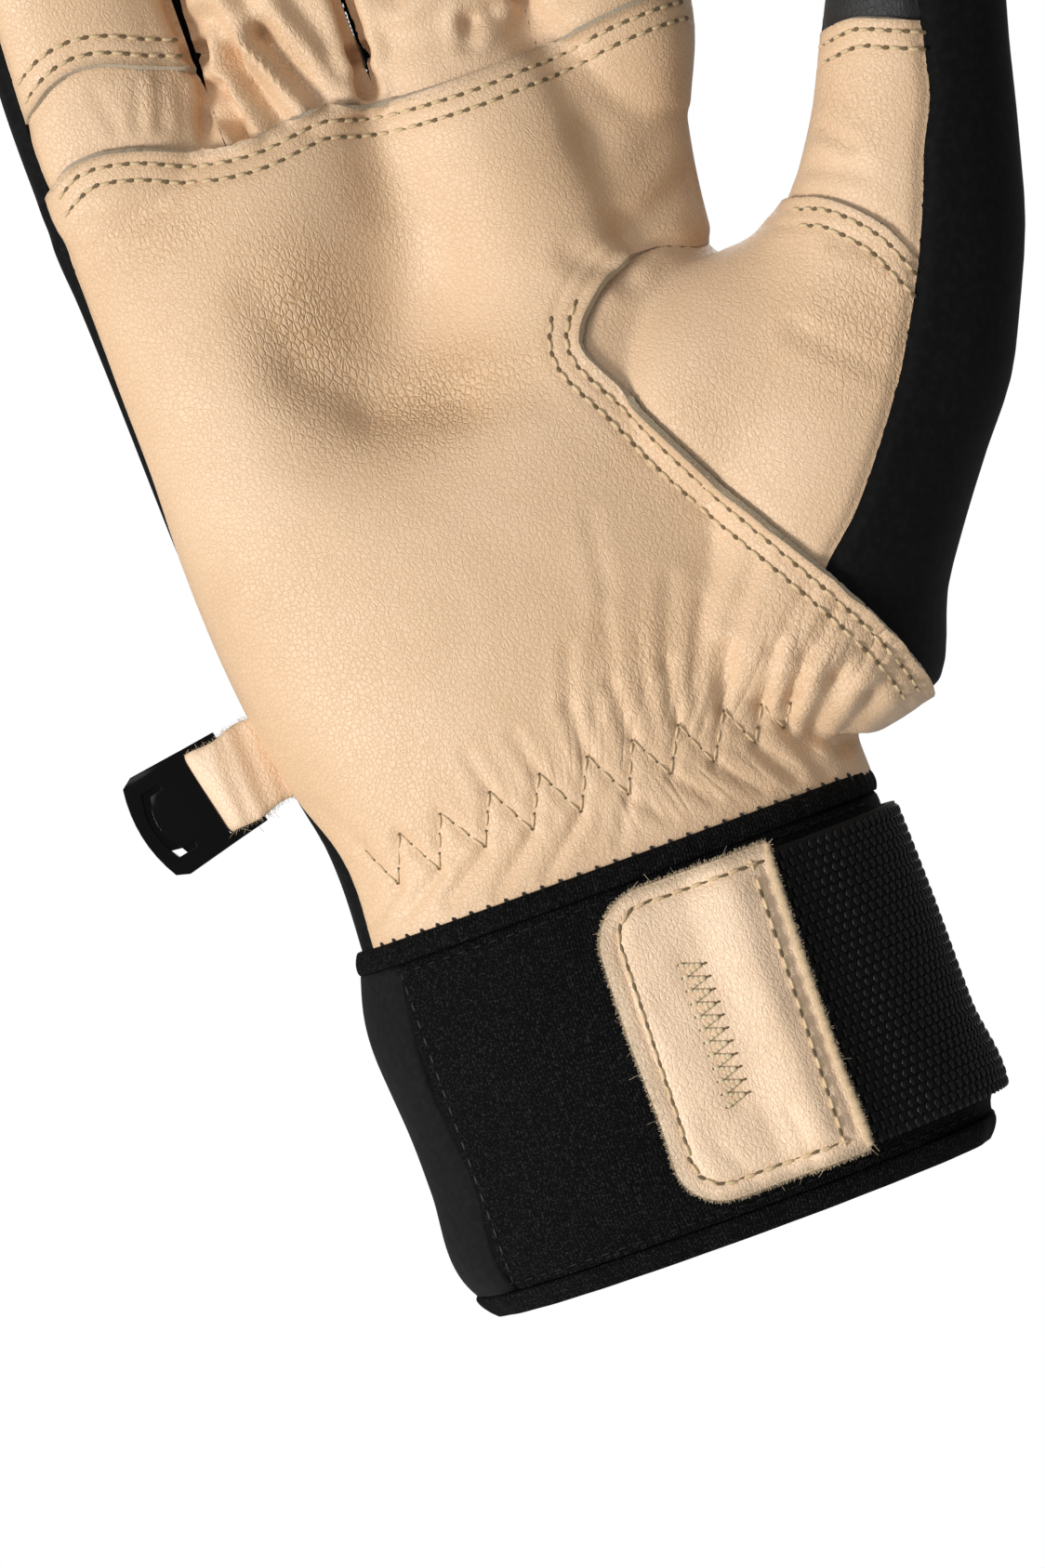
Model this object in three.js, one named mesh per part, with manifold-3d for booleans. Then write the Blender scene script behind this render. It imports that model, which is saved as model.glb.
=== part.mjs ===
// A right-hand ski glove, palm to the front (-Y), fingers up (+Z) and thumb to +X, in millimetres.
// Tan leather faces the palm, the fingers and the thumb, black stretch fabric makes the back and the
// thumb's outer side, and a black knit cuff closes with a webbing strap and a leather tab. A leather
// loop at the little finger's side carries a plastic clip. The walls are hollow, as on the real glove.
// The origin is the middle of the opening that the wrist goes in through.

import * as THREE from "three";
import { mergeVertices } from "three/addons/utils/BufferGeometryUtils.js";
import Module from "manifold-3d";

const wasm = await Module();
wasm.setup();

// Walls and clearances
const gloveWall = 2.4;
const cuffWall = 3;
const seamGap = 0.3;
const reach = 400;
const facetTolerance = 0.15;

// Cuff, strap and tab
const cuffHeight = 55.5;
const cuffWidth = 82;
const cuffDepth = 56;
const hemHeight = 3;
const hemProud = 0.5;
const bindingHeight = 2.8;
const bindingProud = 0.5;
const knitSeamFromMiddle = 35.5;
const knitWrapAngle = 25;
const strapWidth = 44;
const strapThickness = 2;
const strapLift = 6.2;
const strapEndAcross = 13.2;
const strapSewnAngle = 128;
const tabWidth = 26.1;
const tabHeight = 46.5;
const tabThickness = 1.5;
const tabCorner = 7;
const tabLift = 5;
const tabEdgeAcross = 19.4;
const tabStep = 3.2;

// Hand of the glove
const palmLength = 116.5;
const palmDepth = 44;
const fingerGap = 1.4;
const fingerRoot = 16;
const rootNarrow = 0.7;
const palmHollow = 4;
const gatherPitch = 7.1;
const gatherDepth = 1.1;

// Thumb
const thumbLength = 142;
const thumbSpread = 90;
const thumbWidth = 44;
const thumbDepth = 42;
const thumbForward = 23;

// Hanging loop and clip
const loopUp = 87;
const loopTilt = 12;
const loopWidth = 12;
const loopWall = 1.3;
const clipHeight = 16.4;
const clipPlate = 3.2;
const clipRail = 1.8;
const clipBarDeep = 2.2;
const clipBarWidth = 2.6;
const clipBarOut = 5;
const clipTongue = 7;
const clipWindow = 1;
const clipNose = 1.8;
const clipBow = 1.3;
const clipTaper = 0.7;

const leatherTan = "#d9b78f";
const fabricBlack = "#141414";

// Sections of the palm, from the cuff up: heights as shares of palmLength, sides as shares of the
// knuckles' span, front, back and the seam's place on each side as shares of palmDepth.
const palmSections = [
  { up: 0.0, little: -0.39, index: 0.4, front: -0.557, back: 0.5, littleSeam: -0.205, indexSeam: 0.18 },
  { up: 0.04, little: -0.387, index: 0.399, front: -0.536, back: 0.489, littleSeam: -0.205, indexSeam: 0.18 },
  { up: 0.09, little: -0.385, index: 0.403, front: -0.536, back: 0.484, littleSeam: -0.205, indexSeam: 0.18 },
  { up: 0.142, little: -0.388, index: 0.415, front: -0.555, back: 0.477, littleSeam: -0.182, indexSeam: 0.16 },
  { up: 0.21, little: -0.404, index: 0.441, front: -0.568, back: 0.466, littleSeam: -0.091, indexSeam: 0.09 },
  { up: 0.296, little: -0.423, index: 0.462, front: -0.568, back: 0.455, littleSeam: 0.0, indexSeam: 0.045 },
  { up: 0.382, little: -0.435, index: 0.466, front: -0.555, back: 0.443, littleSeam: -0.023, indexSeam: 0.023 },
  { up: 0.511, little: -0.444, index: 0.46, front: -0.523, back: 0.42, littleSeam: -0.068, indexSeam: 0.023 },
  { up: 0.639, little: -0.448, index: 0.451, front: -0.477, back: 0.398, littleSeam: -0.114, indexSeam: 0.023 },
  { up: 0.768, little: -0.452, index: 0.462, front: -0.445, back: 0.375, littleSeam: -0.114, indexSeam: 0.023 },
  { up: 0.88, little: -0.457, index: 0.488, front: -0.409, back: 0.359, littleSeam: -0.125, indexSeam: 0.023 },
  { up: 0.966, little: -0.463, index: 0.514, front: -0.345, back: 0.31, littleSeam: -0.136, indexSeam: 0.023 },
  { up: 1.009, little: -0.458, index: 0.522, front: -0.25, back: 0.22, littleSeam: -0.136, indexSeam: 0.023 },
];

// The fingers, from the little one: sizes in millimetres, angles in degrees, and where the tip's
// leather starts as a share of the finger's length.
const fingers = [
  { name: "little", width: 28, thick: 23, length: 58, lean: 0.8, curl: 26, tipBand: 0.25, outerSeam: -0.3 },
  { name: "ring", width: 21.4, thick: 21.5, length: 74, lean: 0, curl: 34, tipBand: 0.33, outerSeam: -0.1 },
  { name: "middle", width: 22.8, thick: 22, length: 82, lean: 1.5, curl: 34, tipBand: 0.35, outerSeam: -0.1 },
  { name: "index", width: 22.4, thick: 22, length: 73, lean: 7, curl: 30, tipBand: 0.33, outerSeam: -0.1 },
];

// Sections along a finger: places as shares of its length past the fork, sizes as shares of its own.
const fingerSections = [
  { along: -0.06, wide: 0.98, thick: 1.1 },
  { along: 0.06, wide: 1, thick: 1.06 },
  { along: 0.25, wide: 1.01, thick: 1 },
  { along: 0.48, wide: 0.97, thick: 0.96 },
  { along: 0.68, wide: 0.93, thick: 0.9 },
  { along: 0.82, wide: 0.86, thick: 0.8 },
  { along: 0.92, wide: 0.7, thick: 0.62 },
  { along: 0.98, wide: 0.42, thick: 0.36 },
  { along: 1, wide: 0.16, thick: 0.14 },
];

// Sections of the thumb, from inside the palm to the tip: up as shares of thumbLength from the
// cuff, out of thumbSpread, forward of thumbForward, wide and thick of the thumb's width and depth.
const thumbSections = [
  { up: 0.116, out: 0.355, forward: 0.087, wide: 0.98, thick: 0.952 },
  { up: 0.242, out: 0.475, forward: 0.217, wide: 0.95, thick: 1.0 },
  { up: 0.361, out: 0.594, forward: 0.348, wide: 1.005, thick: 0.952 },
  { up: 0.43, out: 0.686, forward: 0.435, wide: 0.98, thick: 0.857 },
  { up: 0.505, out: 0.772, forward: 0.522, wide: 0.83, thick: 0.786 },
  { up: 0.579, out: 0.831, forward: 0.609, wide: 0.73, thick: 0.714 },
  { up: 0.667, out: 0.889, forward: 0.696, wide: 0.626, thick: 0.643 },
  { up: 0.745, out: 0.934, forward: 0.783, wide: 0.571, thick: 0.595 },
  { up: 0.833, out: 0.966, forward: 0.87, wide: 0.543, thick: 0.548 },
  { up: 0.907, out: 0.986, forward: 0.957, wide: 0.488, thick: 0.467 },
  { up: 0.961, out: 0.995, forward: 1.0, wide: 0.31, thick: 0.286 },
  { up: 0.985, out: 0.998, forward: 1.013, wide: 0.111, thick: 0.095 },
];

// Sections of the cuff, from the hem up: heights of cuffHeight, sides of cuffWidth, depths of cuffDepth.
const cuffSections = [
  { up: 0, little: -0.468, index: 0.463, front: -0.5, back: 0.47 },
  { up: 0.08, little: -0.5, index: 0.492, front: -0.52, back: 0.48 },
  { up: 0.35, little: -0.5, index: 0.488, front: -0.52, back: 0.48 },
  { up: 0.63, little: -0.512, index: 0.488, front: -0.52, back: 0.48 },
  { up: 0.86, little: -0.502, index: 0.485, front: -0.5, back: 0.47 },
  { up: 1, little: -0.48, index: 0.482, front: -0.47, back: 0.44 },
];

// Seams seen from the front: across as shares of the knuckles' span, up as shares of palmLength
// from the cuff. The thumb seam runs from the wrist to the fork of thumb and index finger.
const thumbSeam = [
  { across: 0.53, up: -0.05 },
  { across: 0.512, up: 0.087 },
  { across: 0.492, up: 0.133 },
  { across: 0.453, up: 0.2 },
  { across: 0.398, up: 0.284 },
  { across: 0.334, up: 0.38 },
  { across: 0.275, up: 0.477 },
  { across: 0.225, up: 0.556 },
  { across: 0.204, up: 0.607 },
  { across: 0.208, up: 0.628 },
  { across: 0.24, up: 0.665 },
  { across: 0.305, up: 0.691 },
  { across: 0.36, up: 0.7 },
  { across: 0.445, up: 0.684 },
  { across: 0.485, up: 0.72 },
  { across: 0.585, up: 0.985 },
  { across: 0.75, up: 1.9 },
];
const fingerSeam = [
  { across: -0.7, up: 1.021 },
  { across: -0.43, up: 1.025 },
  { across: -0.39, up: 1.041 },
  { across: -0.32, up: 1.038 },
  { across: -0.251, up: 1.017 },
  { across: -0.181, up: 0.997 },
  { across: -0.121, up: 0.992 },
  { across: -0.001, up: 0.996 },
  { across: 0.098, up: 0.982 },
  { across: 0.198, up: 0.978 },
  { across: 0.298, up: 0.98 },
  { across: 0.398, up: 0.987 },
  { across: 0.7, up: 0.991 },
];
const thumbEdge = [
  { across: 0.39, up: 0.2 },
  { across: 0.429, up: 0.251 },
  { across: 0.494, up: 0.301 },
  { across: 0.553, up: 0.36 },
  { across: 0.622, up: 0.44 },
  { across: 0.692, up: 0.545 },
  { across: 0.741, up: 0.637 },
  { across: 0.766, up: 0.692 },
  { across: 0.796, up: 0.742 },
  { across: 0.814, up: 0.805 },
  { across: 0.825, up: 0.847 },
  { across: 0.85, up: 0.95 },
  { across: 0.88, up: 1.4 },
];
const thumbBand = [
  { across: 0.46, up: 0.76 },
  { across: 0.543, up: 0.704 },
  { across: 0.603, up: 0.679 },
  { across: 0.642, up: 0.65 },
  { across: 0.677, up: 0.612 },
  { across: 0.702, up: 0.566 },
  { across: 0.77, up: 0.48 },
];
const thumbTop = [
  { across: 0.5, up: 0.868 },
  { across: 0.69, up: 0.868 },
  { across: 0.73, up: 0.868 },
  { across: 0.769, up: 0.854 },
  { across: 0.829, up: 0.833 },
  { across: 1.1, up: 0.81 },
];

// What follows from the sizes
const knuckleSpan = fingers.reduce((sum, f) => sum + f.width, 0) + fingerGap * (fingers.length - 1);
const littleEdge = palmSections[palmSections.length - 2].little * knuckleSpan;
const forkHeight = cuffHeight + palmLength;
const radians = THREE.MathUtils.degToRad;

// The value of a table's column at a share of its length, on a smooth curve through the rows.
function column(table, place, share, key) {
  const last = table.length - 1;
  let i = table.findIndex((row) => row[place] > share) - 1;
  if (i < 0) i = share <= table[0][place] ? 0 : last - 1;
  const span = table[i + 1][place] - table[i][place];
  const t = THREE.MathUtils.clamp((share - table[i][place]) / span, 0, 1);
  const slope = (k) => {
    const a = Math.max(k - 1, 0);
    const b = Math.min(k + 1, last);
    return ((table[b][key] - table[a][key]) / (table[b][place] - table[a][place])) * span;
  };
  const [from, to] = [table[i][key], table[i + 1][key]];
  const [out, into] = [slope(i), slope(i + 1)];
  return from + t * (out + t * (3 * (to - from) - 2 * out - into + t * (2 * (from - to) + out + into)));
}

// A closed geometry through rings of equally many points, with a fan over each end.
function loft(rings) {
  const count = rings[0].length;
  const points = rings.flat();
  const index = [];
  for (let i = 0; i < rings.length - 1; i += 1) {
    for (let k = 0; k < count; k += 1) {
      const a = i * count + k;
      const b = i * count + ((k + 1) % count);
      index.push(a, b, b + count, a, b + count, a + count);
    }
  }
  [0, rings.length - 1].forEach((i) => {
    const middle = new THREE.Vector3();
    rings[i].forEach((p) => middle.addScaledVector(p, 1 / count));
    const hub = points.push(middle) - 1;
    for (let k = 0; k < count; k += 1) {
      const a = i * count + k;
      const b = i * count + ((k + 1) % count);
      index.push(hub, ...(i ? [a, b] : [b, a]));
    }
  });
  return new THREE.BufferGeometry().setFromPoints(points).setIndex(index);
}

// A manifold solid of a closed geometry, whichever way its faces were wound.
function solid(geometry) {
  const bare = geometry.clone();
  bare.deleteAttribute("normal");
  bare.deleteAttribute("uv");
  const merged = mergeVertices(bare, 1e-3);
  const vertProperties = new Float32Array(merged.attributes.position.array);
  const triVerts = new Uint32Array(merged.index.array);
  const build = () => new wasm.Manifold(new wasm.Mesh({ numProp: 3, vertProperties, triVerts }));
  const made = build();
  if (made.volume() > 0) return made;
  for (let i = 0; i < triVerts.length; i += 3) {
    [triVerts[i + 1], triVerts[i + 2]] = [triVerts[i + 2], triVerts[i + 1]];
  }
  return build();
}

// The angles that part a superellipse's run from one angle to another into stretches of like length.
function evenAngles(halfWide, halfDeep, power, from, to, count) {
  const fine = 400;
  const lengths = [0];
  for (let i = 1; i <= fine; i += 1) {
    const a = superPoint(from + ((to - from) * (i - 1)) / fine, halfWide, halfDeep, power);
    const b = superPoint(from + ((to - from) * i) / fine, halfWide, halfDeep, power);
    lengths.push(lengths[i - 1] + a.distanceTo(b));
  }
  return Array.from({ length: count }, (_, k) => {
    const target = (lengths[fine] * k) / count;
    const i = Math.max(lengths.findIndex((length) => length > target), 1);
    const t = (target - lengths[i - 1]) / (lengths[i] - lengths[i - 1]);
    return from + ((to - from) * (i - 1 + t)) / fine;
  });
}

function superPoint(angle, halfWide, halfDeep, power) {
  const round = (v) => Math.sign(v) * Math.abs(v) ** (2 / power);
  return new THREE.Vector2(halfWide * round(Math.cos(angle)), halfDeep * round(Math.sin(angle)));
}

// Palm: rings at chosen heights, puckered by the wrist's elastic and sunk in the hollow of the hand.
const palmPower = 2.3;
const gatherFrom = 0.02;
const gatherMiddle = 0.105;
const gatherTo = 0.24;
const hollows = [
  { across: -0.17, up: 0.71, wide: 0.13, high: 0.16, deep: 1 },
  { across: 0.02, up: 0.86, wide: 0.1, high: 0.17, deep: 0.8 },
  { across: 0.3, up: 0.9, wide: 0.05, high: 0.14, deep: 0.6 },
];

function palmRing(up, angles, inset, puckered) {
  const at = (key) => column(palmSections, "up", up, key);
  const left = at("little") * knuckleSpan;
  const right = at("index") * knuckleSpan;
  const front = at("front") * palmDepth;
  const back = at("back") * palmDepth;
  const rise = up < gatherMiddle ? (up - gatherFrom) / (gatherMiddle - gatherFrom) : 1;
  const fall = up > gatherMiddle ? (gatherTo - up) / (gatherTo - gatherMiddle) : 1;
  const pucker = puckered ? gatherDepth * Math.max(0, Math.min(rise, fall)) : 0;
  return angles.map((angle) => {
    const p = superPoint(angle, (right - left) / 2 - inset, (back - front) / 2 - inset, palmPower);
    const x = (left + right) / 2 + p.x;
    let y = (front + back) / 2 + p.y;
    const facing = Math.max(0, -Math.sin(angle));
    hollows.forEach((h) => {
      const away = ((x / knuckleSpan - h.across) / h.wide) ** 2 + ((up - h.up) / h.high) ** 2;
      y += palmHollow * h.deep * facing * Math.exp(-away);
    });
    y += pucker * facing * Math.cos((2 * Math.PI * x) / gatherPitch);
    return new THREE.Vector3(x, y, cuffHeight + up * palmLength);
  });
}

const palmFrontSteps = 48;
const palmBackSteps = 16;
const palmAngles = [
  ...evenAngles(knuckleSpan / 2, palmDepth / 2, palmPower, -Math.PI, 0, palmFrontSteps),
  ...evenAngles(knuckleSpan / 2, palmDepth / 2, palmPower, 0, Math.PI, palmBackSteps),
];
const plainAngles = evenAngles(knuckleSpan / 2, palmDepth / 2, palmPower, -Math.PI, Math.PI, 24);
const palmHeights = [0, 0.035, 0.075, 0.12, 0.165, 0.24, 0.36, 0.48, 0.6, 0.71, 0.81, 0.9, 0.96, 1.009];
const plainHeights = [0, 0.09, 0.2, 0.38, 0.58, 0.78, 0.96];

const palmOuter = loft(palmHeights.map((up) => palmRing(up, palmAngles, 0, true)));
const palmInner = loft([
  ...[-0.06, ...plainHeights].map((up) => palmRing(up, plainAngles, gloveWall + gatherDepth / 2, false)),
]);

// Rings of a finger or thumb, each square to the path through its sections.
function limbRings(stations, sides, power, inset) {
  const angles = Array.from({ length: sides }, (_, k) => (2 * Math.PI * k) / sides);
  return stations.map((s, i) => {
    const before = stations[Math.max(i - 1, 0)].centre;
    const after = stations[Math.min(i + 1, stations.length - 1)].centre;
    const along = after.clone().sub(before).normalize();
    const deep = new THREE.Vector3(0, 1, 0).addScaledVector(along, -along.y).normalize();
    const wide = deep.clone().cross(along);
    return angles.map((angle) => {
      const p = superPoint(angle, Math.max(s.halfWide - inset, 0.3), Math.max(s.halfThick - inset, 0.3), power);
      return s.centre.clone().addScaledVector(wide, p.x).addScaledVector(deep, p.y);
    });
  });
}

// A cutter in front of a finger's or thumb's side seams, along the whole of its path.
function frontOf(stations, leftSeam, rightSeam, grow) {
  const first = stations[0];
  const last = stations[stations.length - 1];
  const beyond = last.centre.clone().sub(stations[stations.length - 3].centre).setLength(12).add(last.centre);
  const path = [...stations.slice(0, -2), { ...last, centre: beyond }];
  const side = (first.halfWide + first.halfThick) * 1.2;
  const rings = path.map((s, i) => {
    const before = path[Math.max(i - 1, 0)].centre;
    const after = path[Math.min(i + 1, path.length - 1)].centre;
    const along = after.clone().sub(before).normalize();
    const deep = new THREE.Vector3(0, 1, 0).addScaledVector(along, -along.y).normalize();
    const wide = deep.clone().cross(along);
    const corner = (u, v) => s.centre.clone().addScaledVector(wide, u).addScaledVector(deep, v);
    return [
      corner(-side, leftSeam * s.halfThick * 2 + grow),
      corner(side, rightSeam * s.halfThick * 2 + grow),
      corner(side, -side),
      corner(-side, -side),
    ];
  });
  return solid(loft(rings));
}

// Finger paths: each leaves the palm upright, leans to its side and curls steadily to the front.
const rootDeep = (palmSections[palmSections.length - 2].front + palmSections[palmSections.length - 2].back) / 2;
function fingerStations(finger, left, tipInset) {
  const lean = radians(finger.lean);
  const curl = radians(finger.curl);
  const base = new THREE.Vector3(left + finger.width / 2, rootDeep * palmDepth, forkHeight);
  const pointAt = (length) => {
    const bend = Math.max(length / finger.length, 0) * curl;
    const arc = bend ? Math.sin(bend / 2) / (bend / 2) : 1;
    const forward = -Math.sin(bend / 2) * length * arc;
    const up = Math.cos(bend / 2) * length * arc;
    return base.clone().add(new THREE.Vector3(Math.sin(lean) * up, forward, Math.cos(lean) * up));
  };
  const full = finger.length - tipInset;
  const rootSize = finger.width * rootNarrow;
  const root = { centre: pointAt(-fingerRoot), halfWide: rootSize / 2, halfThick: rootSize / 2 };
  return [
    root,
    ...fingerSections.map((s) => ({
      centre: pointAt(s.along * full),
      halfWide: (finger.width * s.wide) / 2,
      halfThick: (finger.thick * s.thick) / 2,
    })),
  ];
}

const fingerPower = 2.3;
const fingerSides = 16;
let nextLeft = littleEdge;
const fingerPaths = fingers.map((finger) => {
  const left = nextLeft;
  nextLeft += finger.width + fingerGap;
  return { finger, left, outer: fingerStations(finger, left, 0), inner: fingerStations(finger, left, gloveWall) };
});

const thumbStations = (tipInset) =>
  thumbSections.map((s) => {
    const short = tipInset / thumbLength;
    const up = Math.min(s.up, s.up - short * (s.up > 0.9 ? 1 : 0));
    return {
      centre: new THREE.Vector3(s.out * thumbSpread, -s.forward * thumbForward, cuffHeight + up * thumbLength),
      halfWide: (s.wide * thumbWidth) / 2,
      halfThick: (s.thick * thumbDepth) / 2,
    };
  });
const thumbPower = 2.2;
const thumbSides = 20;

// The whole hand as one hollow shell
const outerLimbs = [
  ...fingerPaths.map((path) => solid(loft(limbRings(path.outer, fingerSides, fingerPower, 0)))),
  solid(loft(limbRings(thumbStations(0), thumbSides, thumbPower, 0))),
];
const innerLimbs = [
  ...fingerPaths.map((path) => solid(loft(limbRings(path.inner, 10, fingerPower, gloveWall)))),
  solid(loft(limbRings(thumbStations(gloveWall), 12, thumbPower, gloveWall))),
];
const outerHand = outerLimbs.reduce((whole, limb) => whole.add(limb), solid(palmOuter));
const innerHand = innerLimbs.reduce((whole, limb) => whole.add(limb), solid(palmInner));
const aboveCuff = slab(cuffHeight + seamGap, cuffHeight + reach);
const shell = outerHand.subtract(innerHand).intersect(aboveCuff);

// A cutter of everything between two heights.
function slab(low, high) {
  const box = new THREE.BoxGeometry(reach, reach, high - low);
  return solid(box.translate(0, 0, (low + high) / 2));
}

// A cutter with a front view's outline, right through the hand; grow moves the outline outwards.
function prism(outline, grow = 0) {
  const count = outline.length;
  const area = outline.reduce((sum, p, i) => sum + p.cross(outline[(i + 1) % count]), 0);
  const turn = Math.sign(area) * grow;
  const moved = outline.map((p, i) => {
    const back = p.clone().sub(outline[(i + count - 1) % count]).normalize();
    const ahead = outline[(i + 1) % count].clone().sub(p).normalize();
    const normal = back.add(ahead).normalize();
    return new THREE.Vector2(p.x + normal.y * turn, p.y - normal.x * turn);
  });
  const shape = new THREE.ExtrudeGeometry(new THREE.Shape(moved), { depth: reach, bevelEnabled: false });
  return solid(shape.rotateX(Math.PI / 2).translate(0, reach / 2, 0));
}

const seamPoint = (row) => new THREE.Vector2(row.across * knuckleSpan, cuffHeight + row.up * palmLength);
const high = cuffHeight + 2.6 * palmLength;
const low = -cuffHeight;
const farSide = 1.6 * knuckleSpan;
const corner = (x, z) => new THREE.Vector2(x, z);

const thumbOutline = [...thumbSeam.map(seamPoint), corner(farSide, high), corner(farSide, low)];
const fingersOutline = [...fingerSeam.map(seamPoint), corner(farSide, high), corner(-farSide, high)];
const thumbFaceOutline = [...thumbEdge.map(seamPoint), corner(-farSide, high), corner(-farSide, low)];
const aboveBandOutline = [...thumbBand.map(seamPoint), corner(farSide, high), corner(0, high)];
const aboveTopOutline = [...thumbTop.map(seamPoint), corner(farSide, high), corner(0, high)];

// The biggest body of a cut piece, without the slivers that a cut can leave beside it.
const whole = (piece) => piece.decompose().sort((a, b) => b.volume() - a.volume())[0];

const group = new THREE.Group();
group.name = "ski_glove";

function add(name, made, colour, roughness, metalness = 0) {
  const mesh = whole(made).simplify(facetTolerance).getMesh();
  const geometry = new THREE.BufferGeometry();
  geometry.setAttribute("position", new THREE.BufferAttribute(new Float32Array(mesh.vertProperties), 3));
  geometry.setIndex(new THREE.BufferAttribute(new Uint32Array(mesh.triVerts), 1));
  geometry.computeVertexNormals();
  const material = new THREE.MeshStandardMaterial({ color: colour, roughness, metalness });
  const node = new THREE.Mesh(geometry, material);
  node.name = name;
  group.add(node);
}

// Thumb: two leather faces and a black tip patch in front, black fabric round the outer side
const thumbWhole = shell.intersect(prism(thumbOutline));
const withoutThumb = shell.subtract(prism(thumbOutline, seamGap));
const thumbSeamDeep = 0.04;
const thumbSheet = (grow) => frontOf(thumbStations(0), thumbSeamDeep, thumbSeamDeep, grow);
const thumbFace = thumbWhole.intersect(prism(thumbFaceOutline)).intersect(thumbSheet(0));
const aboveBand = thumbFace.intersect(prism(aboveBandOutline, -seamGap));
add("thumb_lower_leather", thumbFace.subtract(prism(aboveBandOutline)), leatherTan, 0.65);
add("thumb_upper_leather", aboveBand.subtract(prism(aboveTopOutline)), leatherTan, 0.65);
add("thumb_tip_patch", thumbFace.intersect(prism(aboveTopOutline, -seamGap)), fabricBlack, 0.7);
const thumbRest = thumbWhole.subtract(prism(thumbFaceOutline, seamGap).intersect(thumbSheet(seamGap)));
add("thumb_back_fabric", thumbRest, fabricBlack, 0.85);

// Fingers: each has a leather base and tip in front and black fabric behind
const fingersWhole = withoutThumb.intersect(prism(fingersOutline));
fingerPaths.forEach(({ finger, left, outer }, k) => {
  const lean = Math.tan(radians(finger.lean)) * (high - forkHeight);
  const right = left + finger.width;
  const leftEdge = k ? left - fingerGap / 2 + seamGap / 2 : -farSide;
  const rightEdge = k < fingers.length - 1 ? right + fingerGap / 2 - seamGap / 2 : farSide;
  const strip = [corner(leftEdge, low), corner(rightEdge, low)];
  strip.push(corner(rightEdge, forkHeight), corner(rightEdge + lean, high));
  strip.push(corner(leftEdge + lean, high), corner(leftEdge, forkHeight));
  const one = fingersWhole.intersect(prism(strip));
  const innerSeam = -0.05;
  const face = one.intersect(frontOf(outer, finger.outerSeam, innerSeam, 0));
  const bandHeight = forkHeight + finger.tipBand * finger.length;
  const bow = finger.width * 0.06;
  const middle = (left + right) / 2;
  const band = [corner(-farSide, bandHeight - bow), corner(left, bandHeight - bow)];
  band.push(corner(middle - finger.width / 4, bandHeight + bow / 2), corner(middle, bandHeight + bow / 2));
  band.push(corner(right, bandHeight - bow), corner(farSide, bandHeight - bow));
  band.push(corner(farSide, high), corner(-farSide, high));
  add(`${finger.name}_base_leather`, face.subtract(prism(band)), leatherTan, 0.65);
  add(`${finger.name}_tip_leather`, face.intersect(prism(band, -seamGap)), leatherTan, 0.65);
  const rest = one.subtract(frontOf(outer, finger.outerSeam, innerSeam, seamGap));
  add(`${finger.name}_back_fabric`, rest, fabricBlack, 0.85);
});

// Palm: leather in front of the side seams, black fabric behind
const palmWhole = withoutThumb.subtract(prism(fingersOutline, seamGap));
function palmSheet(grow) {
  const rings = palmSections.map((row) => {
    const z = cuffHeight + row.up * palmLength;
    const left = row.little * knuckleSpan;
    const right = row.index * knuckleSpan;
    const slope = ((row.indexSeam - row.littleSeam) * palmDepth) / (right - left);
    const seamAt = (x) => row.littleSeam * palmDepth + slope * (x - left) + grow;
    const [far, near] = [left - palmDepth, right + palmDepth];
    return [
      new THREE.Vector3(far, seamAt(far), z),
      new THREE.Vector3(near, seamAt(near), z),
      new THREE.Vector3(near, -reach / 2, z),
      new THREE.Vector3(far, -reach / 2, z),
    ];
  });
  const top = rings[rings.length - 1].map((p) => p.clone().setZ(high));
  return solid(loft([...rings, top]));
}
add("palm_leather", palmWhole.intersect(palmSheet(0)), leatherTan, 0.65);
add("hand_back_fabric", palmWhole.subtract(palmSheet(seamGap)), fabricBlack, 0.85);

// Cuff: a point at an angle (0 at the thumb's side, a quarter turn back at the palm) and a height,
// standing out from the knit's face by an offset.
const cuffPower = 2.3;
function cuffPoint(angle, z, offset) {
  const at = (key) => column(cuffSections, "up", z / cuffHeight, key);
  const left = at("little") * cuffWidth;
  const right = at("index") * cuffWidth;
  const front = at("front") * cuffDepth;
  const back = at("back") * cuffDepth;
  const p = superPoint(angle, (right - left) / 2 + offset, (back - front) / 2 + offset, cuffPower);
  return new THREE.Vector3((left + right) / 2 + p.x, (front + back) / 2 + p.y, z);
}

// The angle on the cuff's front at a distance across from the middle.
function frontAngle(x) {
  const left = cuffSections[2].little * cuffWidth;
  const right = cuffSections[2].index * cuffWidth;
  const share = (x - (left + right) / 2) / ((right - left) / 2);
  return -Math.acos(Math.sign(share) * Math.abs(share) ** (cuffPower / 2));
}

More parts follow.
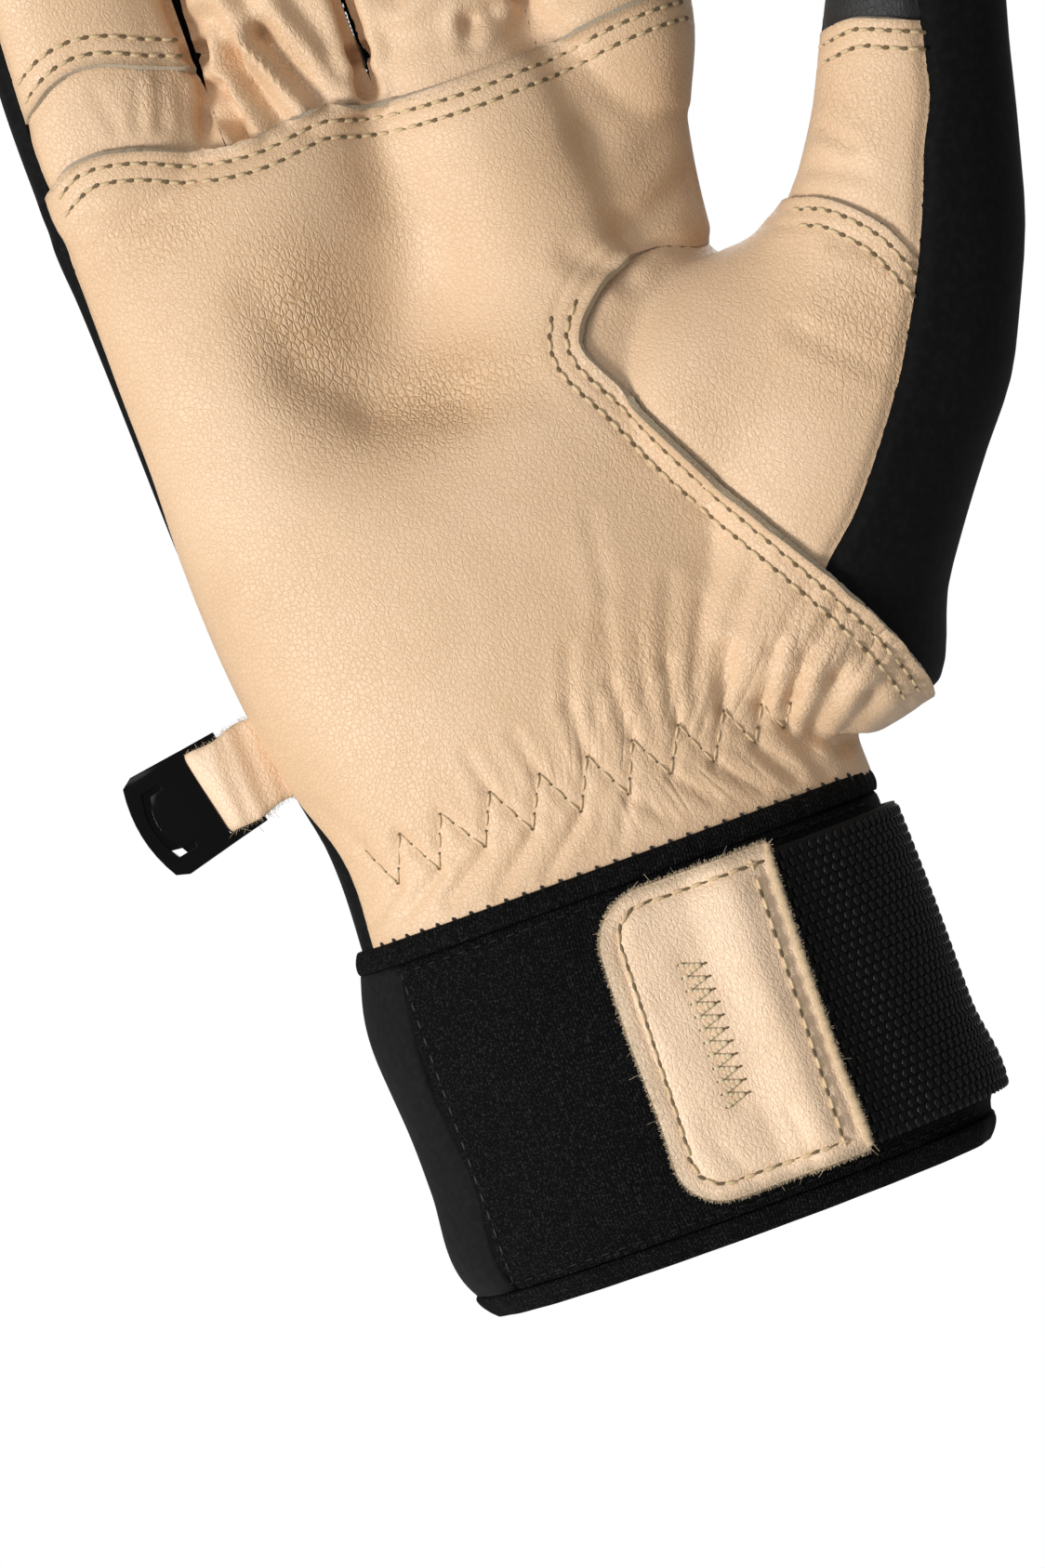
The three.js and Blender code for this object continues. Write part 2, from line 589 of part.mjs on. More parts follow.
// A closed sheet on the cuff. Its ends may follow the height, and its lift may follow the angle.
function cuffSheet({ from, to, low: bottom, high: top, lift, thick, across, up }) {
  const grid = (offset) =>
    up.map((share) => {
      const z = bottom + (top - bottom) * share;
      return Array.from({ length: across + 1 }, (_, k) => {
        const angle = from(z) + ((to(z) - from(z)) * k) / across;
        return cuffPoint(angle, z, lift(angle) + offset);
      });
    });
  const inner = grid(0).flat();
  const outer = grid(thick).flat();
  const wide = across + 1;
  const index = [];
  const quad = (a, b, c, d) => index.push(a, b, c, a, c, d);
  const far = inner.length;
  for (let i = 0; i < up.length - 1; i += 1) {
    for (let k = 0; k < across; k += 1) {
      const a = i * wide + k;
      quad(a, a + wide, a + wide + 1, a + 1);
      quad(far + a, far + a + 1, far + a + wide + 1, far + a + wide);
    }
    const [left, right] = [i * wide, i * wide + across];
    quad(left, far + left, far + left + wide, left + wide);
    quad(right, right + wide, far + right + wide, far + right);
  }
  for (let k = 0; k < across; k += 1) {
    const upper = far - wide + k;
    quad(k, k + 1, far + k + 1, far + k);
    quad(upper, far + upper, far + upper + 1, upper + 1);
  }
  return solid(new THREE.BufferGeometry().setFromPoints([...inner, ...outer]).setIndex(index));
}

// A ring of the cuff through heights, between two offsets from the knit's face.
function cuffRing(heights, inner, outer, steps) {
  const turn = Array.from({ length: steps }, (_, k) => (2 * Math.PI * k) / steps);
  const tube = (offset, list) => solid(loft(list.map((z) => turn.map((angle) => cuffPoint(angle, z, offset)))));
  const longer = [heights[0] - 1, ...heights, heights[heights.length - 1] + 1];
  return tube(outer, heights).subtract(tube(inner, longer));
}

const cuffSteps = 40;
const hemTop = hemHeight;
const bindingLow = cuffHeight - bindingHeight;
const knitLow = hemTop + seamGap;
const knitHigh = bindingLow - seamGap;
const knitHeights = [0, 0.3, 0.6, 1].map((share) => knitLow + (knitHigh - knitLow) * share);
const knitTube = cuffRing(knitHeights, -cuffWall, 0, cuffSteps);
const frontSeam = frontAngle(-knitSeamFromMiddle);
const knitEnd = radians(knitWrapAngle);

// A wedge of the cuff between two angles, as a cutter.
function wedge(from, to) {
  const steps = 12;
  const outline = [new THREE.Vector2(0, 0)];
  for (let k = 0; k <= steps; k += 1) {
    const p = cuffPoint(from + ((to - from) * k) / steps, cuffHeight / 2, cuffWidth / 2);
    outline.push(new THREE.Vector2(p.x, p.y));
  }
  const shape = new THREE.ExtrudeGeometry(new THREE.Shape(outline), { depth: 2 * cuffHeight, bevelEnabled: false });
  return solid(shape.translate(0, 0, -cuffHeight / 2));
}
const gapAngle = seamGap / (cuffDepth / 2);
add("cuff_knit", knitTube.intersect(wedge(frontSeam, knitEnd)), fabricBlack, 0.9);
add("cuff_back", knitTube.subtract(wedge(frontSeam - gapAngle, knitEnd + gapAngle)), fabricBlack, 0.9);
add("cuff_hem", cuffRing([0, hemTop], -cuffWall, hemProud, cuffSteps), fabricBlack, 0.9);
add("cuff_binding", cuffRing([bindingLow, cuffHeight], -cuffWall, bindingProud, cuffSteps), fabricBlack, 0.9);

// Strap: webbing from the back, round the thumb's side, to its end under the tab
const onStrap = seamGap + strapThickness;
const strap = cuffSheet({
  from: () => frontAngle(strapEndAcross),
  to: () => radians(strapSewnAngle),
  low: strapLift,
  high: strapLift + strapWidth,
  lift: () => seamGap,
  thick: strapThickness,
  across: 26,
  up: [0, 0.33, 0.67, 1],
});
add("closure_strap", strap, fabricBlack, 0.8);

// Tab: leather with two round corners, sewn over the strap's end
const tabLeftAcross = tabEdgeAcross - tabWidth;
const stepEnd = frontAngle(strapEndAcross);
const stepStart = frontAngle(strapEndAcross - tabStep);
function tabLeft(z) {
  const fromEnd = Math.min(z - tabLift, tabLift + tabHeight - z);
  const inside = THREE.MathUtils.clamp(tabCorner - fromEnd, 0, tabCorner);
  return tabLeftAcross + tabCorner - Math.sqrt(tabCorner ** 2 - inside ** 2);
}
const tab = cuffSheet({
  from: (z) => frontAngle(tabLeft(z)),
  to: () => frontAngle(tabEdgeAcross),
  low: tabLift,
  high: tabLift + tabHeight,
  lift: (angle) => seamGap + onStrap * THREE.MathUtils.smoothstep(angle, stepStart, stepEnd - 0.01),
  thick: tabThickness,
  across: 20,
  up: [0, 0.03, 0.08, 0.15, 0.5, 0.85, 0.92, 0.97, 1],
});
add("strap_tab", tab, leatherTan, 0.65);

// Hanging loop and clip, in a frame of their own: out from the glove's side (-X), and up (+Z)
const hangAt = (loopUp - cuffHeight) / palmLength;
const sideX = column(palmSections, "up", hangAt, "little") * knuckleSpan;
const sideY = (column(palmSections, "up", hangAt, "front") + column(palmSections, "up", hangAt, "back")) / 2;
const hang = new THREE.Matrix4()
  .makeTranslation(sideX - seamGap, sideY * palmDepth, loopUp)
  .multiply(new THREE.Matrix4().makeRotationY(-radians(loopTilt)))
  .multiply(new THREE.Matrix4().makeScale(-1, 1, 1));

const loopInside = clipBarDeep / 2 + seamGap;
const loopHalf = loopInside + loopWall;
const slotOut = clipBarOut + clipBarWidth;
const plateOut = slotOut + loopHalf + seamGap;
const loopShape = new THREE.Shape();
loopShape.moveTo(0, -loopWall);
loopShape.lineTo(clipBarOut / 2, -loopHalf);
loopShape.lineTo(slotOut, -loopHalf);
loopShape.absarc(slotOut, 0, loopHalf, -Math.PI / 2, Math.PI / 2, false);
loopShape.lineTo(clipBarOut / 2, loopHalf);
loopShape.lineTo(0, loopWall);
const loopHole = new THREE.Path();
loopHole.moveTo(clipBarOut / 3, -loopInside / 3);
loopHole.lineTo(clipBarOut / 2 + loopWall / 2, -loopInside);
loopHole.lineTo(slotOut, -loopInside);
loopHole.absarc(slotOut, 0, loopInside, -Math.PI / 2, Math.PI / 2, false);
loopHole.lineTo(clipBarOut / 2 + loopWall / 2, loopInside);
loopHole.lineTo(clipBarOut / 3, loopInside / 3);
loopShape.holes.push(loopHole);
const loopBody = new THREE.ExtrudeGeometry(loopShape, { depth: loopWidth, bevelEnabled: false, curveSegments: 8 });
loopBody.translate(0, 0, -loopWidth / 2).applyMatrix4(hang);
add("clip_loop", solid(loopBody), leatherTan, 0.7);

// Clip: side rails and a bar for the loop, a tongue plate, and a bowed nose past a C-shaped window
const tongueOut = plateOut + clipTongue;
const noseOut = tongueOut + clipWindow;
const clipEnd = noseOut + clipNose;
const halfClip = clipHeight / 2;
const slotHalf = loopWidth / 2 + seamGap;
const windowHalf = halfClip - clipRail * 1.6;

function clipOutline(start) {
  const shape = new THREE.Shape();
  shape.moveTo(start, -halfClip + (clipTaper * (clipEnd - start)) / (clipEnd - clipBarOut));
  shape.lineTo(clipEnd - clipRail, -halfClip);
  shape.lineTo(clipEnd, -halfClip + clipRail / 2);
  shape.quadraticCurveTo(clipEnd + 2 * clipBow, 0, clipEnd, halfClip - clipRail / 2);
  shape.lineTo(clipEnd - clipRail, halfClip);
  shape.lineTo(start, halfClip - (clipTaper * (clipEnd - start)) / (clipEnd - clipBarOut));
  return shape;
}
const clipWindowHole = new THREE.Path();
clipWindowHole.moveTo(tongueOut - 2 * clipWindow, -windowHalf);
clipWindowHole.lineTo(noseOut, -windowHalf);
clipWindowHole.quadraticCurveTo(noseOut + 2 * clipBow, 0, noseOut, windowHalf);
clipWindowHole.lineTo(tongueOut - 2 * clipWindow, windowHalf);
clipWindowHole.lineTo(tongueOut - 2 * clipWindow, windowHalf - clipWindow);
clipWindowHole.lineTo(tongueOut, windowHalf - clipWindow);
clipWindowHole.quadraticCurveTo(tongueOut + 2 * clipBow, 0, tongueOut, -windowHalf + clipWindow);
clipWindowHole.lineTo(tongueOut - 2 * clipWindow, -windowHalf + clipWindow);

const plateShape = clipOutline(plateOut);
plateShape.holes.push(clipWindowHole);
const plate = new THREE.ExtrudeGeometry(plateShape, { depth: clipPlate, bevelEnabled: false, curveSegments: 8 });
const frameShape = clipOutline(clipBarOut);
const slotHole = new THREE.Path();
slotHole.moveTo(slotOut, -slotHalf);
slotHole.lineTo(plateOut, -slotHalf);
slotHole.lineTo(plateOut, slotHalf);
slotHole.lineTo(slotOut, slotHalf);
frameShape.holes.push(slotHole, clipWindowHole);
const frame = new THREE.ExtrudeGeometry(frameShape, { depth: clipBarDeep, bevelEnabled: false, curveSegments: 8 });
const layFlat = (geometry, deep) =>
  solid(geometry.translate(0, 0, -deep / 2).rotateX(Math.PI / 2).applyMatrix4(hang));
add("glove_clip", layFlat(plate, clipPlate).add(layFlat(frame, clipBarDeep)), fabricBlack, 0.3);

export default group;
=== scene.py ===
import bmesh
import bpy
import numpy as np
from mathutils import Matrix, Vector
from mathutils.bvhtree import BVHTree


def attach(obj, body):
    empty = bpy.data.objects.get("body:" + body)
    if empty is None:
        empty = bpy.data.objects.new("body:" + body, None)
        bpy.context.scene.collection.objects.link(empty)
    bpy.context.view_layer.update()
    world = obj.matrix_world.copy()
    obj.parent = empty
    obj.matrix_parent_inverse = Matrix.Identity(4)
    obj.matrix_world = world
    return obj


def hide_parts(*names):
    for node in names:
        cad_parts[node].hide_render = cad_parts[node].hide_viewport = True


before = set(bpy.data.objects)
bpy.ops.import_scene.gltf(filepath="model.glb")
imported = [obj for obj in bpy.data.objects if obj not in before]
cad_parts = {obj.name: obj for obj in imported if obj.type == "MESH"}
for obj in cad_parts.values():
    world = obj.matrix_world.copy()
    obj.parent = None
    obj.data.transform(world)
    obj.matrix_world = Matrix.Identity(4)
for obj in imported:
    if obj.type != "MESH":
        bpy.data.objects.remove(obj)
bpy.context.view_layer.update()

# Hand form: the leather and fabric panels are cut and sewn to one hand shape, with curled fingers
# and a thumb that stands away. It comes first, as one smooth closed surface that each panel is
# cut from. Lengths are in millimetres until a mesh is made.
MM = 0.001
CUFF_TOP = 55.5
PALM_LENGTH = 116.5
PALM_DEPTH = 44.0
SPAN = 98.8  # the palm tables' widths are shares of this
FORK = CUFF_TOP + PALM_LENGTH
PALM_ROWS = np.array([  # up, little side, index side, front, back, little seam, index seam
    (0.0, -0.39, 0.4, -0.557, 0.5, -0.205, 0.18),
    (0.04, -0.387, 0.399, -0.536, 0.489, -0.205, 0.18),
    (0.09, -0.385, 0.403, -0.536, 0.484, -0.205, 0.18),
    (0.142, -0.388, 0.415, -0.555, 0.477, -0.182, 0.16),
    (0.21, -0.404, 0.441, -0.568, 0.466, -0.091, 0.09),
    (0.296, -0.423, 0.462, -0.568, 0.455, 0.0, 0.045),
    (0.382, -0.435, 0.466, -0.555, 0.443, -0.023, 0.023),
    (0.511, -0.444, 0.46, -0.523, 0.42, -0.068, 0.023),
    (0.639, -0.448, 0.451, -0.477, 0.398, -0.114, 0.023),
    (0.768, -0.452, 0.462, -0.445, 0.375, -0.114, 0.023),
    (0.88, -0.457, 0.488, -0.409, 0.359, -0.125, 0.023),
    (0.966, -0.463, 0.514, -0.345, 0.31, -0.136, 0.023),
    (1.009, -0.458, 0.522, -0.25, 0.22, -0.136, 0.023),
])
HOLLOWS = [  # the palm's dents: across, up, half width, half height, depth
    (-7.0, 136.0, 13.5, 15.0, 7.8),
    (3.0, 148.0, 11.5, 18.0, 7.0),
    (5.0, 166.0, 7.0, 12.0, 2.8),
    (40.5, 158.0, 9.0, 19.0, 4.5),
    (52.0, 160.0, 8.0, 24.0, 3.5),
]
FINGER_ROWS = np.array([  # along the finger, width, thickness
    (-0.22, 0.7, 0.75), (-0.06, 0.98, 1.1), (0.06, 1, 1.06), (0.25, 1.01, 1), (0.48, 0.97, 0.96),
    (0.68, 0.93, 0.9), (0.82, 0.86, 0.8), (0.92, 0.7, 0.62), (0.98, 0.42, 0.36), (1, 0.16, 0.14),
])
FINGERS = {  # left edge, width, thickness, length, lean and curl in degrees
    "little": (-45.7, 28.0, 23.0, 58.0, 0.8, 26.0),
    "ring": (-16.3, 21.4, 21.5, 74.0, 0.0, 34.0),
    "middle": (6.5, 22.8, 22.0, 82.0, 1.5, 34.0),
    "index": (30.7, 22.4, 22.0, 73.0, 7.0, 30.0),
}
SNUG = {"little": 0.0, "ring": 0.15, "middle": 0.13, "index": 0.06}  # swelling at the root
THUMB_LENGTH, THUMB_SPREAD, THUMB_WIDTH, THUMB_DEPTH, THUMB_FORWARD = 142.0, 90.0, 44.0, 42.0, 23.0
THUMB_ROWS = np.array([  # up, out, forward, width, thickness
    (0.09, 0.33, 0.06, 0.7, 0.72), (0.116, 0.352, 0.087, 0.91, 0.94), (0.242, 0.475, 0.217, 0.95, 1.0),
    (0.361, 0.594, 0.348, 1.005, 0.952), (0.43, 0.686, 0.435, 0.98, 0.857),
    (0.505, 0.782, 0.522, 0.805, 0.786), (0.579, 0.838, 0.609, 0.7, 0.714),
    (0.667, 0.889, 0.696, 0.626, 0.643), (0.745, 0.934, 0.783, 0.571, 0.595),
    (0.833, 0.966, 0.87, 0.543, 0.548), (0.907, 0.986, 0.957, 0.488, 0.467),
    (0.961, 0.995, 1.0, 0.31, 0.286), (0.985, 0.998, 1.013, 0.111, 0.095),
])
WEB, WEB_HALF, WEB_LEAN = (44.0, -9.0, 113.0), (23.0, 16.5, 20.5), 3.0


def through(rows, places):
    """Rows of a table read at places of its first column, on a smooth curve."""
    at = rows[:, 0]
    i = np.clip(np.searchsorted(at, places, side="right") - 1, 0, len(at) - 2)
    slope = np.gradient(rows, at, axis=0)
    span = (at[i + 1] - at[i])[:, None]
    t = np.clip((places - at[i])[:, None] / span, 0, 1)
    a, b = rows[i], rows[i + 1]
    out, into = slope[i] * span, slope[i + 1] * span
    return a + t * (out + t * (3 * (b - a) - 2 * out - into + t * (2 * (a - b) + out + into)))


def oval(turn, half_wide, half_deep, power=2.3):
    """A round shape that gets squarer as the power grows."""
    c, s = np.cos(turn), np.sin(turn)
    wide = half_wide * np.sign(c) * np.abs(c) ** (2 / power)
    return wide, half_deep * np.sign(s) * np.abs(s) ** (2 / power)


def ease(t):
    """A smooth step from 0 to 1 while t goes from 0 to 1."""
    t = np.clip(t, 0, 1)
    return t * t * (3 - 2 * t)


def palm_rings():
    turn = np.linspace(0, 2 * np.pi, 150, endpoint=False)
    rings = []
    plain = [(up, 1.0) for up in np.linspace(-0.05, 1.0, 50)]
    round_off = [(1 + 0.04 * k, np.sqrt(1 - k * k)) for k in (0.3, 0.6, 0.85, 0.97)]
    for up, grow in plain + round_off:
        _, little, index, front, back, _, _ = through(PALM_ROWS, np.array([up]))[0]
        wide = (index - little) / 2 * SPAN * (0.9 + 0.1 * grow)
        x, y = oval(turn, wide, (back - front) / 2 * PALM_DEPTH * grow)
        x = x + (index + little) / 2 * SPAN
        y = y + (front + back) / 2 * PALM_DEPTH
        z = CUFF_TOP + up * PALM_LENGTH
        facing = np.maximum(0, -np.sin(turn))
        for across, high, half_wide, half_high, deep in HOLLOWS:
            away = ((x - across) / half_wide) ** 2 + ((z - high) / half_high) ** 2
            y = y + deep * facing * np.exp(-away)
        rings.append(np.stack([x, y, np.full_like(x, z)], axis=1))
    return rings


def limb_rings(centres, half_wide, half_thick, power):
    """Rings square to a bent centre line."""
    turn = np.linspace(0, 2 * np.pi, 52, endpoint=False)
    along = np.gradient(centres, axis=0)
    along /= np.linalg.norm(along, axis=1)[:, None]
    deep = np.array([0.0, 1.0, 0.0]) - along * along[:, 1:2]
    deep /= np.linalg.norm(deep, axis=1)[:, None]
    wide = np.cross(deep, along)
    rings = []
    for i, centre in enumerate(centres):
        x, y = oval(turn, half_wide[i], half_thick[i], power)
        rings.append(centre + wide[i] * x[:, None] + deep[i] * y[:, None])
    return rings


def finger_path(name):
    """Centres and half sizes along a finger; its root is swollen where it presses on the next one."""
    left, width, thick, length, lean, curl = FINGERS[name]
    lean, curl = np.radians(lean), np.radians(curl)
    shares = np.concatenate([np.linspace(-0.22, 0.9, 30), np.linspace(0.92, 1, 9)])
    rows = through(FINGER_ROWS, shares)
    run = shares * length
    bend = np.maximum(shares, 0) * curl
    arc = np.where(bend > 0, np.sin(bend / 2) / np.maximum(bend / 2, 1e-9), 1) * run
    up = np.cos(bend / 2) * arc
    base = (-0.345 + 0.31) / 2 * PALM_DEPTH
    x = left + width / 2 + np.sin(lean) * up
    centres = np.stack([x, base - np.sin(bend / 2) * arc, FORK + np.cos(lean) * up], axis=1)
    press = 1 + SNUG[name] * (1 - ease((shares - 0.16) / 0.3))
    return centres, width * rows[:, 1] * press / 2, thick * rows[:, 2] / 2


def thumb_path():
    rows = through(THUMB_ROWS, np.concatenate([np.linspace(0.09, 0.9, 42), np.linspace(0.91, 0.985, 10)]))
    x, y, z = rows[:, 1] * THUMB_SPREAD, -rows[:, 2] * THUMB_FORWARD, CUFF_TOP + rows[:, 0] * THUMB_LENGTH
    return np.stack([x, y, z], axis=1), rows[:, 3] * THUMB_WIDTH / 2, rows[:, 4] * THUMB_DEPTH / 2


def web_rings():
    """The full leather between the palm and the ball of the thumb, up to the web."""
    turn = np.linspace(0, 2 * np.pi, 56, endpoint=False)
    rings = []
    for k in np.sin(np.linspace(-1.45, 1.45, 26)):
        reach = np.sqrt(1 - k * k)
        x, y = oval(turn, WEB_HALF[0] * reach, WEB_HALF[1] * reach ** 0.8, 3.2)
        z = np.full_like(x, WEB[2] + WEB_HALF[2] * k)
        rings.append(np.stack([WEB[0] + WEB_LEAN * k + x, WEB[1] + y, z], axis=1))
    return rings


def closed_loft(bm, rings):
    """Faces between rings of points, with both ends closed."""
    rows = [[bm.verts.new(Vector(p) * MM) for p in ring] for ring in rings]
    count = len(rings[0])
    bm.faces.new(rows[0][::-1])
    bm.faces.new(rows[-1])
    for low, high in zip(rows, rows[1:]):
        for k in range(count):
            n = (k + 1) % count
            bm.faces.new((low[k], low[n], high[n], high[k]))


def settle(piece):
    """Turns a piece and its modifiers into one plain mesh."""
    graph = bpy.context.evaluated_depsgraph_get()
    mesh = bpy.data.meshes.new_from_object(piece.evaluated_get(graph))
    piece.modifiers.clear()
    old, piece.data = piece.data, mesh
    bpy.data.meshes.remove(old)
    mesh.name = piece.name
    return piece


def new_piece(name, mesh, materials=()):
    piece = bpy.data.objects.new(name, mesh)
    bpy.context.scene.collection.objects.link(piece)
    for material in materials:
        mesh.materials.append(material)
    return piece


def read(mesh):
    """A mesh's points in millimetres, its triangles and its edges."""
    mesh.calc_loop_triangles()
    points = np.empty(len(mesh.vertices) * 3)
    faces = np.empty(len(mesh.loop_triangles) * 3, dtype=np.int32)
    edges = np.empty(len(mesh.edges) * 2, dtype=np.int32)
    mesh.vertices.foreach_get("co", points)
    mesh.loop_triangles.foreach_get("vertices", faces)
    mesh.edges.foreach_get("vertices", edges)
    return points.reshape(-1, 3) / MM, faces.reshape(-1, 3), edges.reshape(-1, 2)


def around(values, edges):
    """The mean of each point's neighbours."""
    count = len(values)
    one, two = edges.T
    degree = np.bincount(edges.ravel(), minlength=count)
    total = [np.bincount(one, column[two], count) + np.bincount(two, column[one], count)
             for column in values.T]
    return np.stack(total, axis=1) / np.maximum(degree, 1)[:, None]


def normals_of(points, faces):
    a, b, c = (points[faces[:, k]] for k in range(3))
    flat = np.cross(b - a, c - a)
    total = np.stack([sum(np.bincount(faces[:, k], flat[:, axis], len(points)) for k in range(3))
                      for axis in range(3)], axis=1)
    return total / np.maximum(np.linalg.norm(total, axis=1)[:, None], 1e-12)


bm = bmesh.new()
closed_loft(bm, palm_rings())
for finger in FINGERS:
    closed_loft(bm, limb_rings(*finger_path(finger), power=2.3))
closed_loft(bm, limb_rings(*thumb_path(), power=2.2))
closed_loft(bm, web_rings())
bmesh.ops.recalc_face_normals(bm, faces=bm.faces)
form_mesh = bpy.data.meshes.new("form")
bm.to_mesh(form_mesh)
bm.free()
form = new_piece("form", form_mesh)
melt = form.modifiers.new("melt", "REMESH")
melt.mode = "VOXEL"
melt.voxel_size = 0.65 * MM
settle(form)
points, faces, edges = read(form.data)
bpy.data.objects.remove(form)
a, b, c = (points[faces[:, k]] for k in range(3))
if np.einsum("ij,ij->i", a, np.cross(b, c)).sum() < 0:
    faces = faces[:, ::-1].copy()
for _ in range(6):
    points += 0.5 * (around(points, edges) - points)
    points -= 0.52 * (around(points, edges) - points)
# The creases between the fingers, and where the thumb leaves the palm, are filled a little.
inward = np.einsum("ij,ij->i", around(points, edges) - points, normals_of(points, faces))
crease = np.clip(inward / 0.02, 0, 1)[:, None]
for _ in range(8):
    crease = np.maximum(crease * 0.97, around(crease, edges))
for _ in range(10):
    points += 0.5 * crease * (around(points, edges) - points)
# The leather is drawn tight over the ball of the thumb, so it is smoothed there alone.
BALL, BALL_HALF, BALL_FRONT = (51, 117), (17, 18), -10
far = ((points[:, 0] - BALL[0]) / BALL_HALF[0]) ** 4 + ((points[:, 2] - BALL[1]) / BALL_HALF[1]) ** 4
tight = np.exp(-far) * ease((BALL_FRONT - points[:, 1]) / 6)
near = np.flatnonzero(tight > 0.01)
place_of = np.full(len(points), -1)
place_of[near] = np.arange(len(near))
local = place_of[edges]
local = local[(local >= 0).all(axis=1)]
ball, pull = points[near], 0.5 * tight[near, None]
for _ in range(260):
    ball += pull * (around(ball, local) - ball)
points[near] = ball

# Folds and gathers: worn goatskin creases round the palm's hollow and at the finger roots, and the
# elastic inside the wrist puckers it into a fan. Each fold is a line pressed into the form, and the
# zigzag that holds the elastic sinks in too.
ZIGZAG_PEAKS = [(-33, 70), (-27.3, 70.3), (-20.8, 71), (-13.2, 71.5), (-5.7, 71.5), (1.5, 71.5),
                (8.3, 71.5), (15.2, 71.3), (22, 71), (27.5, 70), (31.5, 69)]
ZIGZAG_VALLEYS = [(-30, 63.5), (-23.7, 63.5), (-16.5, 64.3), (-9.3, 64.3), (-2, 64.3), (5.2, 64.3),
                  (11.8, 65), (18.2, 64.5), (24.7, 65), (29.5, 65.5)]
FOLDS = [  # from x, z to x, z, depth, half width
    # the hollow, the valley below the index finger and the sinks between fingers
    (4.4, 169, 2.6, 156, 1.4, 4.0), (31, 170, 32.8, 155, 1.5, 3.2), (32.8, 155, 32.6, 142, 1.5, 3.2),
    (32.6, 142, 33.2, 137.5, 1.0, 2.6), (-12, 186, -4, 186, 2.3, 6.0), (53, 176, 59, 206, 2.6, 5.0),
    (-20, 150, -18, 138, 0.8, 4.2), (-18, 138, -10, 129, 0.9, 4.2), (-10, 129, 2, 125, 0.9, 4.0),
    (2, 125, 13, 123, 0.6, 3.6), (-14, 178, 1, 177, 1.4, 3.6), (6, 178, 27, 175, 0.8, 3.4),
    # puckers above the zigzag
    (-33, 70.5, -37, 78, 0.22, 1), (-27.3, 70.8, -28.6, 76, 0.19, 0.9), (-13.4, 72, -14.4, 77.5, 0.3, 0.9),
    (-6, 72, -7.2, 78, 0.34, 0.9), (1.5, 72, 1.6, 79, 0.52, 1), (1.6, 79, 4.2, 87, 0.3, 1),
    (8.3, 72, 8.2, 80, 0.52, 1), (8.2, 80, 10.8, 90, 0.34, 1.1), (15.2, 72, 16.6, 80, 0.6, 1),
    (16.6, 80, 21, 91, 0.38, 1.2), (22, 71.5, 25.4, 79, 0.68, 1.1), (25.4, 79, 33, 88, 0.45, 1.3),
    (27.5, 70.5, 31.6, 76.5, 0.68, 1.1), (31.6, 76.5, 39, 83, 0.45, 1.3), (31.5, 69.5, 35.4, 74.5, 0.83, 1.2),
    (35.4, 74.5, 42.5, 79.5, 0.52, 1.3), (33, 63.5, 38.5, 69.5, 1.12, 1.6), (38.5, 69.5, 45, 73, 0.75, 1.5),
    (36, 60.5, 42, 65.5, 0.98, 1.5), (42, 65.5, 48, 68.5, 0.6, 1.3), (30.2, 66.5, 33.8, 71.5, 0.6, 1.1),
    # puckers below the zigzag
    (-30, 63, -35, 59.6, 0.38, 0.9), (-23.8, 63, -30.4, 59.2, 0.45, 0.9), (-16.6, 63.8, -24, 58.6, 0.45, 0.9),
    (-9.5, 63.8, -17, 57.4, 0.45, 0.9), (-2.2, 63.8, -9.6, 57.4, 0.45, 0.9), (5, 63.8, 1.6, 58.2, 0.3, 0.9),
    (5.4, 63.8, 9.6, 59, 0.3, 0.9), (12, 64.4, 16.4, 59.6, 0.45, 0.9), (18.4, 64, 23.4, 58.6, 0.52, 0.9),
    (24.8, 64.4, 28.4, 58.4, 0.6, 0.9), (29.6, 65, 32.6, 57.6, 0.6, 1), (-27.3, 69.6, -24.2, 64.2, 0.19, 0.8),
    # finer puckers, and soft creases at the thumb's web and along the raw edge
    (4.5, 75.5, 7.8, 86, 0.19, 0.8), (12, 75.5, 14.4, 85, 0.22, 0.8), (18.6, 75, 24.4, 86.5, 0.26, 0.9),
    (12, 92, 13.4, 103, 0.2, 1.2), (27, 83, 36, 92, 0.22, 1.2), (33, 139.5, 45, 145, 1.7, 2.6),
    (36, 147, 45, 153, 0.4, 2.4), (30, 134, 24, 139, 0.7, 1.8), (-40, 168, -30, 165.5, 0.35, 1.4),
    (-20, 170, -28, 166, 0.3, 1.2), (-28, 178.5, -26, 184, 0.25, 0.9), (-24.6, 177.5, -22.6, 184, 0.3, 0.9),
    (-31, 179, -32, 185, 0.2, 0.9),
    # finger roots
    (-14.2, 172, -15.9, 180, 2.1, 1.0), (-15.9, 180, -17, 186, 1.9, 1.3), (-17, 186, -17.1, 194, 1.9, 1.4),
    (-17.6, 181, -19.6, 172.6, 1.0, 0.9), (4.9, 173, 5.5, 178, 2.6, 1.2), (5.5, 178, 6.3, 194, 2.8, 1.3),
    (29.2, 171, 30.2, 180, 1.0, 2.4), (30.2, 180, 31, 194, 2.4, 1.8), (-14.4, 190, -13.1, 184, 1.2, 1.6),
    (-13.1, 184, -8.4, 172.6, 2.5, 1.4), (-7.6, 192, -6.6, 185, 1.4, 1.6), (-6.6, 185, -1.6, 172.8, 2.7, 1.5),
    (-1, 190, 2.4, 180, 0.7, 1.3), (25.4, 176.8, 22, 176.4, 1.0, 1.3), (22, 176.4, 20.8, 173.6, 1.0, 1.3),
    (13, 184, 24, 187, 1.2, 1.8), (36, 176, 50, 178, 0.5, 2.0),
    # the thumb
    (56, 142, 66, 136, 0.5, 1.4), (60, 128, 69, 121, 0.35, 1.4), (50, 118, 60, 108, 0.3, 1.6),
    (62, 146, 66, 140, 0.5, 1.1),
]
